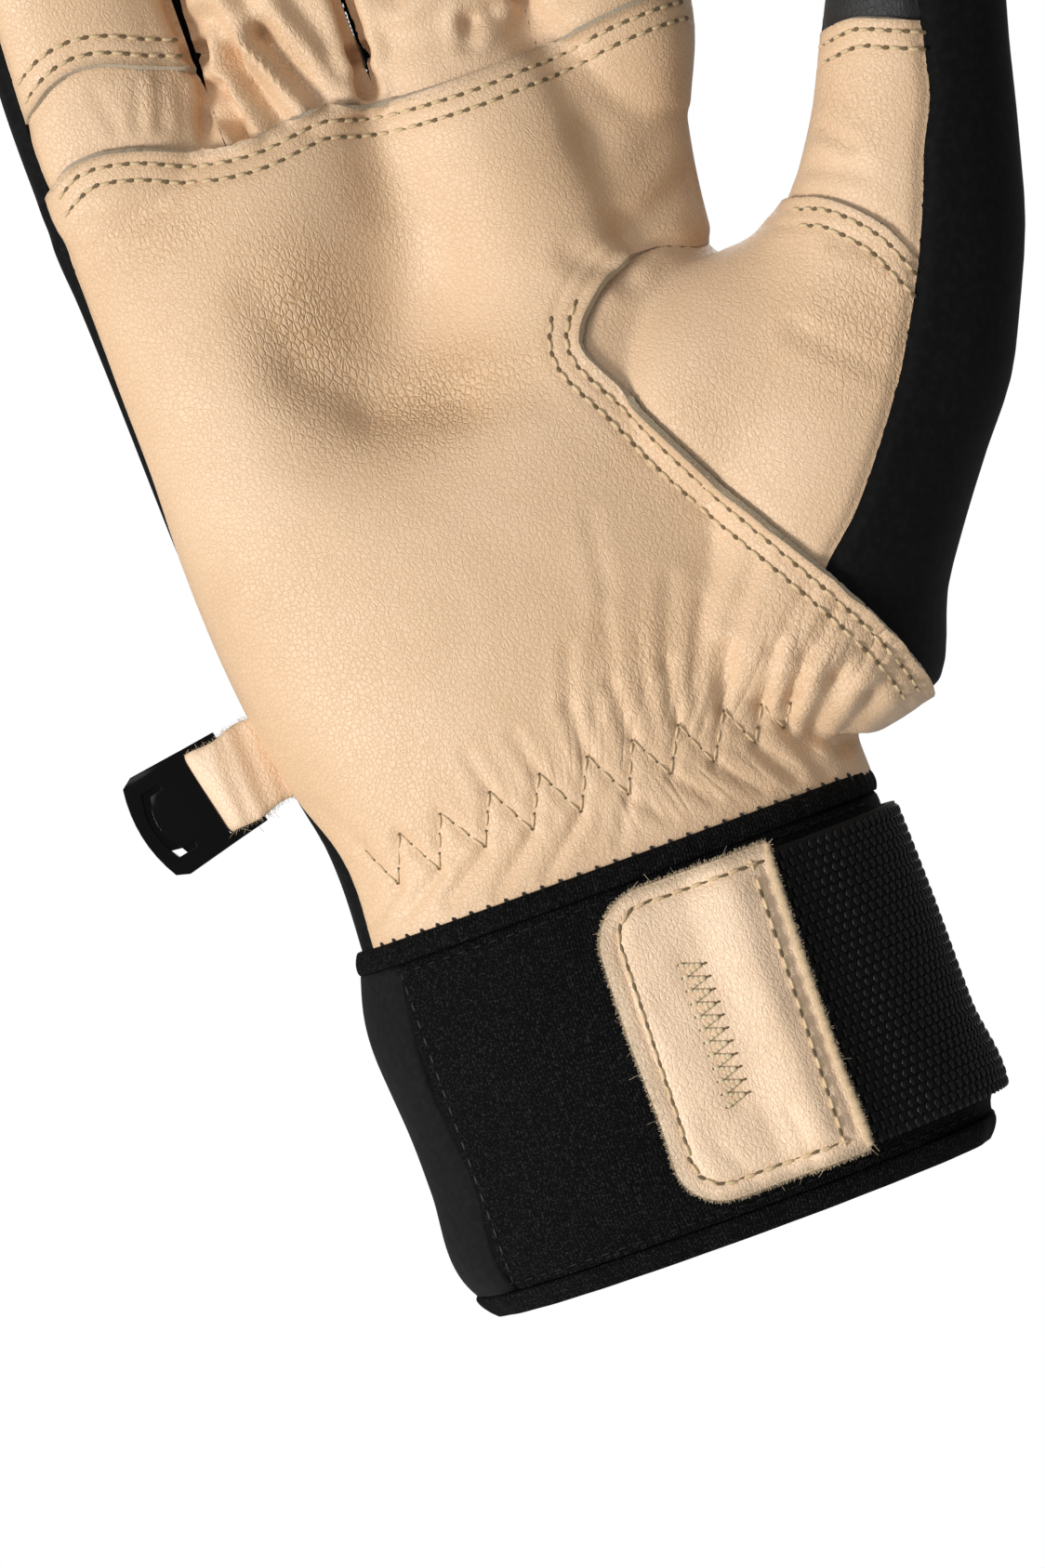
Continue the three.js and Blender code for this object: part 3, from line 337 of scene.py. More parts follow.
SHARP_FOLD = 2.2  # a fold narrower than this throws up a ridge on both sides
ZIGZAG = [p for pair in zip(ZIGZAG_PEAKS, ZIGZAG_VALLEYS) for p in pair] + [ZIGZAG_PEAKS[-1]]


def line_distance(points, start, end):
    """Distance in the front view from a line, and how far along it the nearest place is."""
    a, b = np.array(start), np.array(end)
    flat = points[:, [0, 2]] - a
    t = np.clip(flat @ (b - a) / ((b - a) @ (b - a)), 0, 1)
    return np.linalg.norm(flat - t[:, None] * (b - a), axis=1), t


def press_folds(points, normals):
    """The form's points moved inwards at each fold, on its front alone."""
    depth = np.zeros(len(points))
    for x0, z0, x1, z1, deep, half in FOLDS:
        away, t = line_distance(points, (x0, z0), (x1, z1))
        strong = deep * (1 - 0.35 * t)
        ridge = 0.4 * np.exp(-((away - 2 * half) / half) ** 2) if half < SHARP_FOLD else 0
        depth += strong * (np.exp(-(away / half) ** 2) - ridge)
    pulled = np.zeros(len(points))
    for start, end in zip(ZIGZAG, ZIGZAG[1:]):
        away, _ = line_distance(points, start, end)
        pulled = np.maximum(pulled, np.exp(-(away / 0.9) ** 2))
    depth += 0.45 * pulled
    facing = ease((-normals[:, 1] - 0.1) / 0.4)
    return points - normals * (depth * facing)[:, None]


points = press_folds(points, normals_of(points, faces))
for _ in range(2):
    points += 0.25 * (around(points, edges) - points)

# Seam lines: where the panels meet, seen from the front. Each point of the form keeps its distance
# from every line, so that a panel's edge, its lift and its stitches all follow the same curve.
THUMB_SEAM = [  # in shares of the palm's span and length, as all these tables
    (0.53, -0.05), (0.512, 0.087), (0.492, 0.133), (0.453, 0.2), (0.398, 0.284), (0.334, 0.38),
    (0.275, 0.477), (0.2475, 0.53), (0.222, 0.571), (0.209, 0.597), (0.2075, 0.613), (0.2165, 0.632),
    (0.241, 0.656), (0.265, 0.673), (0.293, 0.687), (0.36, 0.7), (0.445, 0.684), (0.49, 0.7),
    (0.53, 0.745), (0.55, 0.8), (0.6, 0.985), (0.75, 1.9)]
FINGER_SEAM = [
    (-0.7, 1.011), (-0.45, 1.014), (-0.43, 1.021), (-0.41, 1.031), (-0.385, 1.036), (-0.36, 1.036),
    (-0.3, 1.025), (-0.222, 0.998), (-0.17, 0.988), (-0.129, 0.986), (-0.085, 0.99), (-0.047, 0.995),
    (0.035, 0.983), (0.1, 0.973), (0.184, 0.967), (0.298, 0.972), (0.398, 0.982), (0.7, 0.991)]
THUMB_EDGE = [(0.33, 0.1), (0.39, 0.2), (0.429, 0.251), (0.494, 0.301), (0.553, 0.36), (0.622, 0.44),
              (0.692, 0.545), (0.741, 0.637), (0.766, 0.692), (0.796, 0.742), (0.814, 0.805), (0.825, 0.847),
              (0.85, 0.95), (0.88, 1.4)]
THUMB_BAND = [(0.4, 0.80), (0.46, 0.76), (0.543, 0.704), (0.573, 0.69), (0.603, 0.679), (0.642, 0.65),
              (0.677, 0.612), (0.702, 0.566), (0.731, 0.52), (0.77, 0.48), (0.85, 0.4)]
THUMB_TOP = [(0.5, 0.868), (0.651, 0.868), (0.69, 0.868), (0.73, 0.868), (0.769, 0.854), (0.829, 0.833),
             (0.888, 0.821), (1.1, 0.81)]
LITTLE_BAND = [(-0.7, 1.1), (-0.468, 1.1), (-0.424, 1.118), (-0.38, 1.139), (-0.342, 1.146),
               (-0.3, 1.141), (-0.254, 1.125), (-0.2, 1.11), (-0.16, 1.098), (-0.1, 1.09)]
BAND_LEVEL = {"ring": 0.33, "middle": 0.35, "index": 0.33}  # up the finger, as a share of its length
GAPS = [(-17.1, 0.4), (5.75, 0.75), (29.95, 4.2)]  # between two fingers: place at the fork, lean


def run_of(line):
    """The length along a line up to each of its points."""
    return np.concatenate([[0], np.cumsum(np.linalg.norm(np.diff(line, axis=0), axis=1))])


def seam_line(rows):
    """A seam's table as a smooth line of points about a millimetre apart."""
    marks = np.array(rows) * (SPAN, PALM_LENGTH) + (0, CUFF_TOP)
    run = run_of(marks)
    return through(np.column_stack([run, marks]), np.linspace(0, run[-1], int(run[-1]) + 1))[:, 1:]


def across_bands(name):
    """The line where a finger's first band lies, a little bowed."""
    left, width, _, length, lean, _ = FINGERS[name]
    if name == "little":
        return seam_line(LITTLE_BAND)
    level = FORK + BAND_LEVEL[name] * length
    bow = np.array([(-9.0, -1.4), (-0.0, -1.4), (0.25, 0.6), (0.75, 0.6), (1.0, -1.4), (9.0, -1.4)])
    shift = np.tan(np.radians(lean)) * (level - FORK)
    return np.column_stack([left + shift + bow[:, 0] * width, level + bow[:, 1]])


def side_of(points, line):
    """Signed front-view distance from a line, positive on its left as it runs."""
    a, b = line[:-1], line[1:]
    d = b - a
    out = np.empty(len(points))
    for start in range(0, len(points), 20000):
        p = points[start:start + 20000, [0, 2]]
        flat = p[:, None, :] - a[None]
        t = np.clip((flat * d).sum(2) / (d * d).sum(1), 0, 1)
        gap = flat - t[..., None] * d
        far = (gap * gap).sum(2)
        near = far.argmin(1)
        row = np.arange(len(p))
        turn = d[near, 0] * flat[row, near, 1] - d[near, 1] * flat[row, near, 0]
        out[start:start + 20000] = np.sqrt(far[row, near]) * np.where(turn < 0, -1, 1)
    return out


thumb_seam, finger_seam = seam_line(THUMB_SEAM), seam_line(FINGER_SEAM)
thumb_edge, thumb_band, thumb_top = seam_line(THUMB_EDGE), seam_line(THUMB_BAND), seam_line(THUMB_TOP)
FIELDS = {"thumb": side_of(points, thumb_seam), "palm": -side_of(points, finger_seam)}
rows = through(PALM_ROWS, np.clip((points[:, 2] - CUFF_TOP) / PALM_LENGTH, 0, 1.009))
left_side, right_side = rows[:, 1] * SPAN, rows[:, 2] * SPAN
share = (points[:, 0] - left_side) / (right_side - left_side)
web = np.exp(-((points[:, 0] - 49) / 10) ** 2 - ((points[:, 2] - 138) / 9) ** 2)
FIELDS["front"] = (rows[:, 5] + (rows[:, 6] - rows[:, 5]) * share) * PALM_DEPTH - points[:, 1] + 20 * web
centres, _, half_thick = thumb_path()
near = np.array([((points[:, [0, 2]] - c) ** 2).sum(1) for c in centres[:, [0, 2]]]).argmin(0)
thumb_front = centres[near, 1] + 0.08 * half_thick[near] - points[:, 1]
FIELDS["thumb_face"] = np.minimum(side_of(points, thumb_edge), thumb_front + 20 * web)
FIELDS["web"] = ease((points[:, 0] - 31) / 7) * ease((points[:, 2] - 126) / 6)
FIELDS["above_band"] = side_of(points, thumb_band)
FIELDS["above_top"] = side_of(points, thumb_top)
for k, (x, lean) in enumerate(GAPS):
    FIELDS[f"gap{k}"] = points[:, 0] - x - np.tan(np.radians(lean)) * np.maximum(points[:, 2] - FORK, 0)
for finger in FINGERS:
    left, width, thick, _, lean, _ = FINGERS[finger]
    centres = finger_path(finger)[0]
    middle = np.interp(points[:, 2], centres[:, 2], centres[:, 1])
    inside = points[:, 0] - left - np.tan(np.radians(lean)) * (points[:, 2] - FORK)
    share = np.clip(inside / width, 0, 1)
    outer = -0.3 if finger == "little" else -0.1
    FIELDS[f"{finger}_face"] = middle + (outer + (-0.05 - outer) * share) * thick - points[:, 1]
    FIELDS[f"{finger}_tip"] = side_of(points, across_bands(finger))
FIELDS["cuff"] = points[:, 2] - (CUFF_TOP - 0.3)
FIELDS["up"] = points[:, 2]
FIELDS["seen"] = ease((0.1 - normals_of(points, faces)[:, 1]) / 0.5)
FORM = np.column_stack([points, normals_of(points, faces), *FIELDS.values()])
COLUMN = {name: 6 + k for k, name in enumerate(FIELDS)}

# Palm: one piece of full-grain goatskin from the binding to the finger roots, with a cut edge along
# the thumb and the fingers that lies over its neighbours and curls up under two rows of stitches.
# It is turned in where it meets the black fabric behind.
GRAIN = 0.8  # twice the size of real pores, so that they show in a view of the whole glove
FLEX_WRINKLE = 1.15
PLEAT = 2.4
STITCH_ROWS = (1.6, 4.0)  # distance of the two rows from a raw edge
STITCH_SINK, STITCH_HALF = 0.22, 0.7
EDGE_RISE, EDGE_REACH = 0.4, 9.0  # how a raw edge lifts, and over what width
GROOVE, GROOVE_HALF = 0.8, 1.3
CUT_SNAP, MERGE = 0.06, 0.2  # points closer to a cut line, or to each other, are joined
ELASTIC = 67  # height of the elastic inside the wrist
WORN = [  # across, up, half width, half height, how wrinkled
    (-15, 141, 11, 18, 0.85), (-2, 127, 16, 9, 0.8), (14, 80, 18, 14, 0.4), (36, 74, 14, 14, 0.5),
    (-22, 183, 8, 6, 0.6), (-30, 163, 12, 7, 0.5), (0, 156, 8, 12, 0.4), (30, 110, 22, 14, 0.35),
    (40, 145, 8, 12, 0.25), (60, 115, 14, 14, 0.6), (66, 146, 8, 10, 0.5), (-8, 182, 10, 8, 0.6),
]


def linear(code):
    """A #rrggbb colour as the linear colour that the shaders work in."""
    parts = [int(code[k:k + 2], 16) / 255 for k in (1, 3, 5)]
    return (*[v / 12.92 if v <= 0.04045 else ((v + 0.055) / 1.055) ** 2.4 for v in parts], 1)


def feed(tree, node, inputs):
    """Sets a node's inputs; each is a value or a link from another node."""
    for name, value in inputs.items():
        if isinstance(value, bpy.types.NodeSocket):
            tree.links.new(value, node.inputs[name])
        else:
            node.inputs[name].default_value = value


def put(tree, kind, settings=None, inputs=None):
    """Adds a node with its settings and inputs."""
    node = tree.nodes.new(kind)
    for name, value in (settings or {}).items():
        setattr(node, name, value)
    feed(tree, node, inputs or {})
    return node


def new_material(name):
    """A material with its node tree and its shader node."""
    material = bpy.data.materials.new(name)
    material.use_nodes = True
    tree = material.node_tree
    return material, tree, tree.nodes["Principled BSDF"]


def per_mm(size):
    """A pattern's scale, for cells of a size in millimetres."""
    return 1 / (size * MM)


def goatskin(name, pale, deep, rough=0.46):
    """Goatskin: pebbled by its pores, wrinkled where it flexes, pleated where it is gathered and
    rubbed to its grey-brown fibres at a cut edge."""
    material, tree, shader = new_material(name)
    place = put(tree, "ShaderNodeTexCoord").outputs["Object"]
    edge_of_cells = {"feature": "DISTANCE_TO_EDGE"}
    sway = put(tree, "ShaderNodeTexNoise", inputs={"Vector": place, "Scale": per_mm(1.6), "Detail": 2})
    bent = put(tree, "ShaderNodeVectorMath", {"operation": "SCALE"},
               {0: sway.outputs["Color"], "Scale": 0.6 * MM})
    moved = put(tree, "ShaderNodeVectorMath", {"operation": "ADD"}, {0: place, 1: bent.outputs[0]}).outputs[0]
    pores = put(tree, "ShaderNodeTexVoronoi", edge_of_cells, {"Vector": moved, "Scale": per_mm(GRAIN)})
    fine = put(tree, "ShaderNodeTexVoronoi", edge_of_cells, {"Vector": moved, "Scale": per_mm(GRAIN * 0.55)})
    cells = put(tree, "ShaderNodeMapRange", inputs={"Value": pores.outputs["Distance"], "From Max": 0.16})
    fine_cells = put(tree, "ShaderNodeMapRange", inputs={"Value": fine.outputs["Distance"], "From Max": 0.25})
    flex = put(tree, "ShaderNodeAttribute", {"attribute_name": "flex"}).outputs["Fac"]
    stretch = put(tree, "ShaderNodeMapping",
                  inputs={"Vector": place, "Scale": (1.5, 1.5, 0.75), "Rotation": (0, 0.45, 0)})
    wrinkle = put(tree, "ShaderNodeTexVoronoi", edge_of_cells,
                  {"Vector": stretch.outputs[0], "Scale": per_mm(FLEX_WRINKLE)})
    furrow = put(tree, "ShaderNodeMapRange", inputs={"Value": wrinkle.outputs["Distance"], "From Max": 0.2})
    soft = put(tree, "ShaderNodeTexNoise", inputs={"Vector": place, "Scale": per_mm(9), "Detail": 1})
    patches = put(tree, "ShaderNodeTexNoise", inputs={"Vector": place, "Scale": per_mm(26), "Detail": 4})
    tone = put(tree, "ShaderNodeMapRange", inputs={"Value": patches.outputs["Fac"], "From Min": 0.3,
                                                   "From Max": 0.7, "To Min": 0.0, "To Max": 0.38})
    pit = put(tree, "ShaderNodeMath", {"operation": "SUBTRACT", "use_clamp": True},
              {0: 1.0, 1: cells.outputs[0]})
    pit_tone = put(tree, "ShaderNodeMath", {"operation": "MULTIPLY_ADD"},
                   {0: pit.outputs[0], 1: 0.2, 2: tone.outputs[0]})
    split = put(tree, "ShaderNodeMath", {"operation": "SUBTRACT", "use_clamp": True},
                {0: flex, 1: furrow.outputs[0]})
    split_tone = put(tree, "ShaderNodeMath", {"operation": "MULTIPLY_ADD"},
                     {0: split.outputs[0], 1: 0.7, 2: pit_tone.outputs[0]})
    mixed = put(tree, "ShaderNodeMix", {"data_type": "RGBA"},
                {"Factor": split_tone.outputs[0], 6: linear(pale), 7: linear(deep)})
    rub = put(tree, "ShaderNodeAttribute", {"attribute_name": "rub"}).outputs["Fac"]
    nap = put(tree, "ShaderNodeTexNoise", inputs={"Vector": place, "Scale": per_mm(0.5), "Detail": 3})
    bare = put(tree, "ShaderNodeMath", {"operation": "MULTIPLY", "use_clamp": True},
               {0: rub, 1: nap.outputs["Fac"]})
    shown = put(tree, "ShaderNodeMix", {"data_type": "RGBA"},
                {"Factor": bare.outputs[0], 6: mixed.outputs[2], 7: linear("#8d7a5f")})
    gather = put(tree, "ShaderNodeAttribute", {"attribute_name": "gather"}).outputs["Fac"]
    fan = put(tree, "ShaderNodeAttribute", {"attribute_name": "fan"}).outputs["Vector"]
    pleats = put(tree, "ShaderNodeTexNoise",
                 inputs={"Vector": fan, "Scale": per_mm(PLEAT), "Detail": 1.0, "Distortion": 0.15})
    ridge = put(tree, "ShaderNodeMath", {"operation": "SUBTRACT"}, {0: pleats.outputs["Fac"], 1: 0.5})
    fold = put(tree, "ShaderNodeMath", {"operation": "ABSOLUTE"}, {0: ridge.outputs[0]})
    pleat = put(tree, "ShaderNodeMapRange", {"interpolation_type": "LINEAR"},
                {"Value": fold.outputs[0], "From Max": 0.13})
    relief = {}
    for height, strength, deep_mm in ((cells.outputs[0], 0.45, 0.1), (fine_cells.outputs[0], 0.22, 0.08),
                                      (soft.outputs["Fac"], 0.35, 0.8), (furrow.outputs[0], flex, 0.16),
                                      (pleat.outputs[0], gather, 0.26)):
        bump = put(tree, "ShaderNodeBump",
                   inputs={"Height": height, "Strength": strength, "Distance": deep_mm * MM, **relief})
        relief = {"Normal": bump.outputs[0]}
    feed(tree, shader, {"Base Color": shown.outputs[2], "Roughness": rough, "Specular IOR Level": 0.5,
                        "Sheen Weight": 0.1, "Sheen Roughness": 0.45, **relief})
    return material


def suede(name, pale, deep):
    """Leather's flesh side, or fleece: loose short fibres, with no shine."""
    material, tree, shader = new_material(name)
    place = put(tree, "ShaderNodeTexCoord").outputs["Object"]
    fibre = put(tree, "ShaderNodeTexNoise", inputs={"Vector": place, "Scale": per_mm(0.35), "Detail": 3})
    mixed = put(tree, "ShaderNodeMix", {"data_type": "RGBA"},
                {"Factor": fibre.outputs["Fac"], 6: linear(pale), 7: linear(deep)})
    bump = put(tree, "ShaderNodeBump",
               inputs={"Height": fibre.outputs["Fac"], "Strength": 0.8, "Distance": 0.2 * MM})
    feed(tree, shader, {"Base Color": mixed.outputs[2], "Roughness": 0.95, "Sheen Weight": 0.3,
                        "Normal": bump.outputs[0]})
    return material


# Drum-dyed tan goatskin: half matt, pebbled, and darker in its wrinkles and pores.
tan_goatskin = goatskin("tan_goatskin", "#e4c3a0", "#c9a174")
# Fleece lining, seen only down the cuff: dark and dull.
fleece_lining = suede("fleece_lining", "#2a2a2a", "#171717")
# The cut through the goatskin: a grey-brown line of fibres along each raw edge.
cut_suede = suede("cut_suede_edge", "#c6b69b", "#94856c")
# Leather and lining as one sheet: thickness, finishes outside, inside and on its rim, and slot.
LINED_LEATHER = (1.1, (tan_goatskin, fleece_lining, cut_suede), "tan_leather")


def cut(sheet, faces, level):
    """The part of a triangle sheet where level is positive, cut clean along its zero line."""
    level = np.where(np.abs(level) < CUT_SNAP, 0, level)
    inside = level[faces] >= 0
    count = inside.sum(1)
    kept = [faces[count == 3]]
    pairs, spots = [], []
    for odd, wanted in ((True, 1), (False, 2)):
        some = faces[count == wanted]
        first = (inside[count == wanted] == odd).argmax(1)
        a, b, c = (np.take_along_axis(some, ((first + k) % 3)[:, None], 1)[:, 0] for k in range(3))
        pairs += [np.column_stack([a, b]), np.column_stack([a, c])]
        spots.append((a, b, c))
    ends = np.sort(np.concatenate(pairs), axis=1)
    ends, back = np.unique(ends, axis=0, return_inverse=True)
    back = back.reshape(-1) + len(sheet)
    drop = level[ends[:, 0]] - level[ends[:, 1]]
    t = np.clip(level[ends[:, 0]] / np.where(drop == 0, 1, drop), 0, 1)[:, None]
    sheet = np.vstack([sheet, sheet[ends[:, 0]] * (1 - t) + sheet[ends[:, 1]] * t])
    one, two = len(pairs[0]), len(pairs[2])
    ab1, ac1 = back[:one], back[one:2 * one]
    ab2, ac2 = back[2 * one:2 * one + two], back[2 * one + two:]
    kept.append(np.column_stack([spots[0][0], ab1, ac1]))
    kept.append(np.column_stack([spots[1][1], spots[1][2], ac2]))
    kept.append(np.column_stack([spots[1][1], ac2, ab2]))
    faces = np.concatenate(kept)
    used, faces = np.unique(faces, return_inverse=True)
    return sheet[used], faces.reshape(-1, 3)


def raised(d, curl=0.75):
    """A raw edge: the leather rises towards its cut and curls up at it; two stitch rows sink in."""
    rows = sum(np.exp(-((d - row) / STITCH_HALF) ** 2) for row in STITCH_ROWS)
    lift = EDGE_RISE * (1 - ease(d / EDGE_REACH)) + curl * np.exp(-np.maximum(d, 0) / 0.8)
    return lift - STITCH_SINK * rows


def turned(d):
    """A turned seam: the edge sinks into a groove."""
    return -GROOVE * np.exp(-(d / GROOVE_HALF) ** 2)


def flex_of(points):
    """How strongly the leather is wrinkled by use, from 0 to 1, at each point."""
    x, z = points[:, 0], points[:, 2]
    flex = np.full_like(x, 0.14)
    for across, up, half_wide, half_high, most in WORN:
        away = ((x - across) / half_wide) ** 2 + ((z - up) / half_high) ** 2
        flex = np.maximum(flex, most * np.exp(-away))
    return flex


def gather_of(points):
    """How strongly the wrist's elastic puckers the leather, from 0 to 1, at each point."""
    x, z = points[:, 0], points[:, 2]
    reach = 8 + 17 * ease((x + 12) / 45)
    above = ease((z - 56) / 5) * (1 - ease((z - 69) / reach)) * (1 - 0.45 * ease((68 - z) / 3))
    return above * (0.15 + 0.85 * ease((x + 22) / 48)) * ease((np.abs(z - ELASTIC) - 0.6) / 2.5)


def fan_of(points):
    """Places measured along and across the puckers, which fan out from the elastic on both its sides."""
    x, z = points[:, 0], points[:, 2]
    upper = z > ELASTIC
    across = np.where(upper, 46 * np.arctan2(x + 10, z - 32), 150 - 40 * np.arctan2(x, 100 - z))
    along = np.where(upper, np.hypot(x + 10, z - 32), np.hypot(x, 100 - z))
    return np.column_stack([across, along * 0.09, np.zeros(len(x))]) * MM


front_pieces = []


def mark(mesh, **fields):
    """Keeps values or vectors, one for each point, on a mesh for its material to read."""
    for name, values in fields.items():
        kind, key = ("FLOAT", "value") if values.ndim == 1 else ("FLOAT_VECTOR", "vector")
        marks = mesh.attributes.new(name, kind, "POINT")
        marks.data.foreach_set(key, values.ravel().astype(np.float32))


def panel(name, keep, lift, goods, node, worn=None):
    """One cut and sewn panel: the form's sheet where every level that keep names is positive, lifted and
    given the thickness of its goods; worn is the distance from its raw edge."""
    sheet, triangles = FORM, faces
    wall, finishes, slot = goods

    def field(key):
        return sheet[:, COLUMN[key]]

    for side in range(len(keep(field))):
        sheet, triangles = cut(sheet, triangles, keep(field)[side])
    spots = sheet[:, :3] + sheet[:, 3:6] * lift(field)[:, None]
    mesh = bpy.data.meshes.new(name)
    mesh.from_pydata((spots * MM).tolist(), [], triangles.tolist())
    rub = np.exp(-np.maximum(worn(field), 0) / 0.5) if worn else np.zeros(len(sheet))
    mark(mesh, flex=flex_of(sheet), gather=gather_of(sheet), fan=fan_of(sheet), rub=rub)
    bm = bmesh.new()
    bm.from_mesh(mesh)
    bmesh.ops.remove_doubles(bm, verts=bm.verts, dist=MERGE * MM)
    bmesh.ops.dissolve_degenerate(bm, edges=bm.edges, dist=MERGE * MM / 2)
    bm.to_mesh(mesh)
    bm.free()
    piece = new_piece(name, mesh, finishes)
    wall_maker = piece.modifiers.new("wall", "SOLIDIFY")
    wall_maker.thickness = wall * MM
    wall_maker.offset = -1
    wall_maker.material_offset = 1
    wall_maker.material_offset_rim = 2
    settle(piece)
    piece.data.shade_smooth()
    piece.data.set_sharp_from_angle(angle=np.radians(50))
    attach(piece, "root")
    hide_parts(node)
    front_pieces.append(piece)
    return piece


def palm_edge(f):
    """Distance from the palm's raw edge; in the thumb's web it is turned in and isn't raw."""
    return np.minimum(f("thumb") + 40 * f("web"), f("palm"))


panel("palm_goatskin",
      lambda f: (f("thumb"), f("palm"), f("front"), f("cuff")),
      lambda f: (0.3 + raised(palm_edge(f)) * ease(f("front") / 8) * f("seen") + turned(f("front"))
                 + (turned(f("thumb")) - 0.3) * f("web")),
      LINED_LEATHER, "palm_leather", palm_edge)

# Back of the hand: softshell, a smooth black stretch fabric on fleece, from the cuff up to the
# fingers and round to the palm's outer side. Both edges are turned in.
def softshell(name, base, fleck, rib=0.7, rough=0.82):
    """A two-way weave, drawn coarser than its 0.2 mm threads so that it shows, with flecks of lint."""
    material, tree, shader = new_material(name)
    place = put(tree, "ShaderNodeTexCoord").outputs["Object"]
    askew = put(tree, "ShaderNodeMapping", inputs={"Vector": place, "Rotation": (0.3, 0.5, 0.7)})
    threads = {"Vector": askew.outputs[0], "Scale": per_mm(rib) / 20, "Distortion": 1.2, "Detail": 1}
    weave = put(tree, "ShaderNodeTexWave", {"bands_direction": "X"}, threads)
    cross = put(tree, "ShaderNodeTexWave", {"bands_direction": "Z"}, threads)
    height = put(tree, "ShaderNodeMath", {"operation": "MULTIPLY"},
                 {0: weave.outputs["Fac"], 1: cross.outputs["Fac"]})
    lint = put(tree, "ShaderNodeTexNoise", inputs={"Vector": place, "Scale": per_mm(1.1), "Detail": 5})
    tone = put(tree, "ShaderNodeMapRange",
               inputs={"Value": lint.outputs["Fac"], "From Min": 0.45, "From Max": 0.8})
    mixed = put(tree, "ShaderNodeMix", {"data_type": "RGBA"},
                {"Factor": tone.outputs[0], 6: linear(base), 7: linear(fleck)})
    bump = put(tree, "ShaderNodeBump",
               inputs={"Height": height.outputs[0], "Strength": 0.5, "Distance": 0.15 * MM})
    feed(tree, shader, {"Base Color": mixed.outputs[2], "Roughness": rough, "Specular IOR Level": 0.15,
                        "Sheen Weight": 0.02, "Normal": bump.outputs[0]})
    return material


# Woven, water-repellent polyester: nearly black, matt, with a little lint.
black_softshell = softshell("black_softshell", "#050505", "#121212")
LINED_FABRIC = (1.2, (black_softshell, fleece_lining, black_softshell), "black_stretch_fabric")
panel("hand_back_softshell",
      lambda f: (f("thumb"), f("palm"), -f("front"), f("cuff")),
      lambda f: 0.1 + turned(-f("front")) + turned(f("thumb")),
      LINED_FABRIC, "hand_back_fabric")

# Thumb: goatskin over its ball, set in under the palm's raw edge, a second piece of goatskin up to
# a black grip patch on the tip, and softshell round its outer side. Each piece's raw upper edge
# lies over the next one's tucked lower edge.
TUCK = 5.0  # how far a piece runs on under a raw edge
TUCK_DIP, TUCK_REACH = 0.5, 3.5
# Embossed black leather: rougher than the tan and with the same pebble, so it grips.
grip_leather = goatskin("black_grip_leather", "#1b1b1b", "#0c0c0c", 0.6)
LINED_GRIP = (1.1, (grip_leather, fleece_lining, grip_leather), "black_textured_leather")


def tucked(d):
    """An edge that dips under its neighbour's raw edge."""
    return -TUCK_DIP * (1 - ease((d + TUCK_DIP) / TUCK_REACH))


panel("thumb_lower_goatskin",
      lambda f: (TUCK - f("thumb"), f("thumb_face"), -f("above_band"), f("cuff")),
      lambda f: (tucked(-f("thumb")) * (1 - f("web"))
                 + (turned(f("thumb")) - 1.2 * ease(f("thumb") / 0.6)) * f("web") + turned(f("thumb_face"))
                 + raised(-f("above_band"), 0.3) * ease(f("thumb_face") / 5) * f("seen")),
      LINED_LEATHER, "thumb_lower_leather", lambda f: -f("above_band"))
panel("thumb_upper_goatskin",
      lambda f: (-f("thumb"), f("thumb_face"), f("above_band") + TUCK, -f("above_top")),
      lambda f: (tucked(f("above_band")) + turned(f("thumb_face"))
                 + raised(-f("above_top"), 0.3) * f("seen") * ease(f("thumb_face") / 5)),
      LINED_LEATHER, "thumb_upper_leather", lambda f: -f("above_top"))
panel("thumb_grip_patch",
      lambda f: (-f("thumb"), f("thumb_face"), f("above_top") + TUCK),
      lambda f: tucked(f("above_top")) + turned(f("thumb_face")),
      LINED_GRIP, "thumb_tip_patch")
panel("thumb_back_softshell",
      lambda f: (-f("thumb"), -f("thumb_face"), f("cuff")),
      lambda f: turned(-f("thumb_face")) + np.where(f("thumb") > -9, tucked(-f("thumb")), 0),
      LINED_FABRIC, "thumb_back_fabric")

# Fingers: on each, a short goatskin base under the palm's raw edge, a goatskin tip whose lower raw
# edge is the first band, and softshell behind. The leathers of two fingers part above the fork.
SLITS = ((0.4, 180.0), (0.3, 173.0), (0.0, 176.0))  # half width, and the height where it opens


def parted(f, order, opened):
    """Distances inwards from the gaps beside a finger; where opened, half of each slit is left free."""
    levels = []
    for gap, side in ((order - 1, 1), (order, -1)):
        if 0 <= gap < len(GAPS):
            wide, start = SLITS[gap]
            levels.append(side * f(f"gap{gap}") - opened * wide * ease((f("up") - start) / 4))
    return levels


for order, finger in enumerate(FINGERS):
    face, tip = f"{finger}_face", f"{finger}_tip"
    panel(f"{finger}_base_goatskin",
          lambda f: (f("thumb"), TUCK - f("palm"), *parted(f, order, 1), f(face), TUCK - f(tip)),
          lambda f: tucked(-f("palm")) + tucked(-f(tip)) + turned(f(face)),
          LINED_LEATHER, f"{finger}_base_leather")
    panel(f"{finger}_tip_goatskin",
          lambda f: (f("thumb"), -f("palm"), *parted(f, order, 1), f(face), f(tip)),
          lambda f: raised(f(tip), 0.35) * ease(f(face) / 6) * f("seen") + turned(f(face)),
          LINED_LEATHER, f"{finger}_tip_leather", lambda f: f(tip))
    panel(f"{finger}_back_softshell",
          lambda f: (f("thumb"), -f("palm"), *parted(f, order, 0), -f(face)),
          lambda f: 0.1 + turned(-f(face)),
          LINED_FABRIC, f"{finger}_back_fabric")

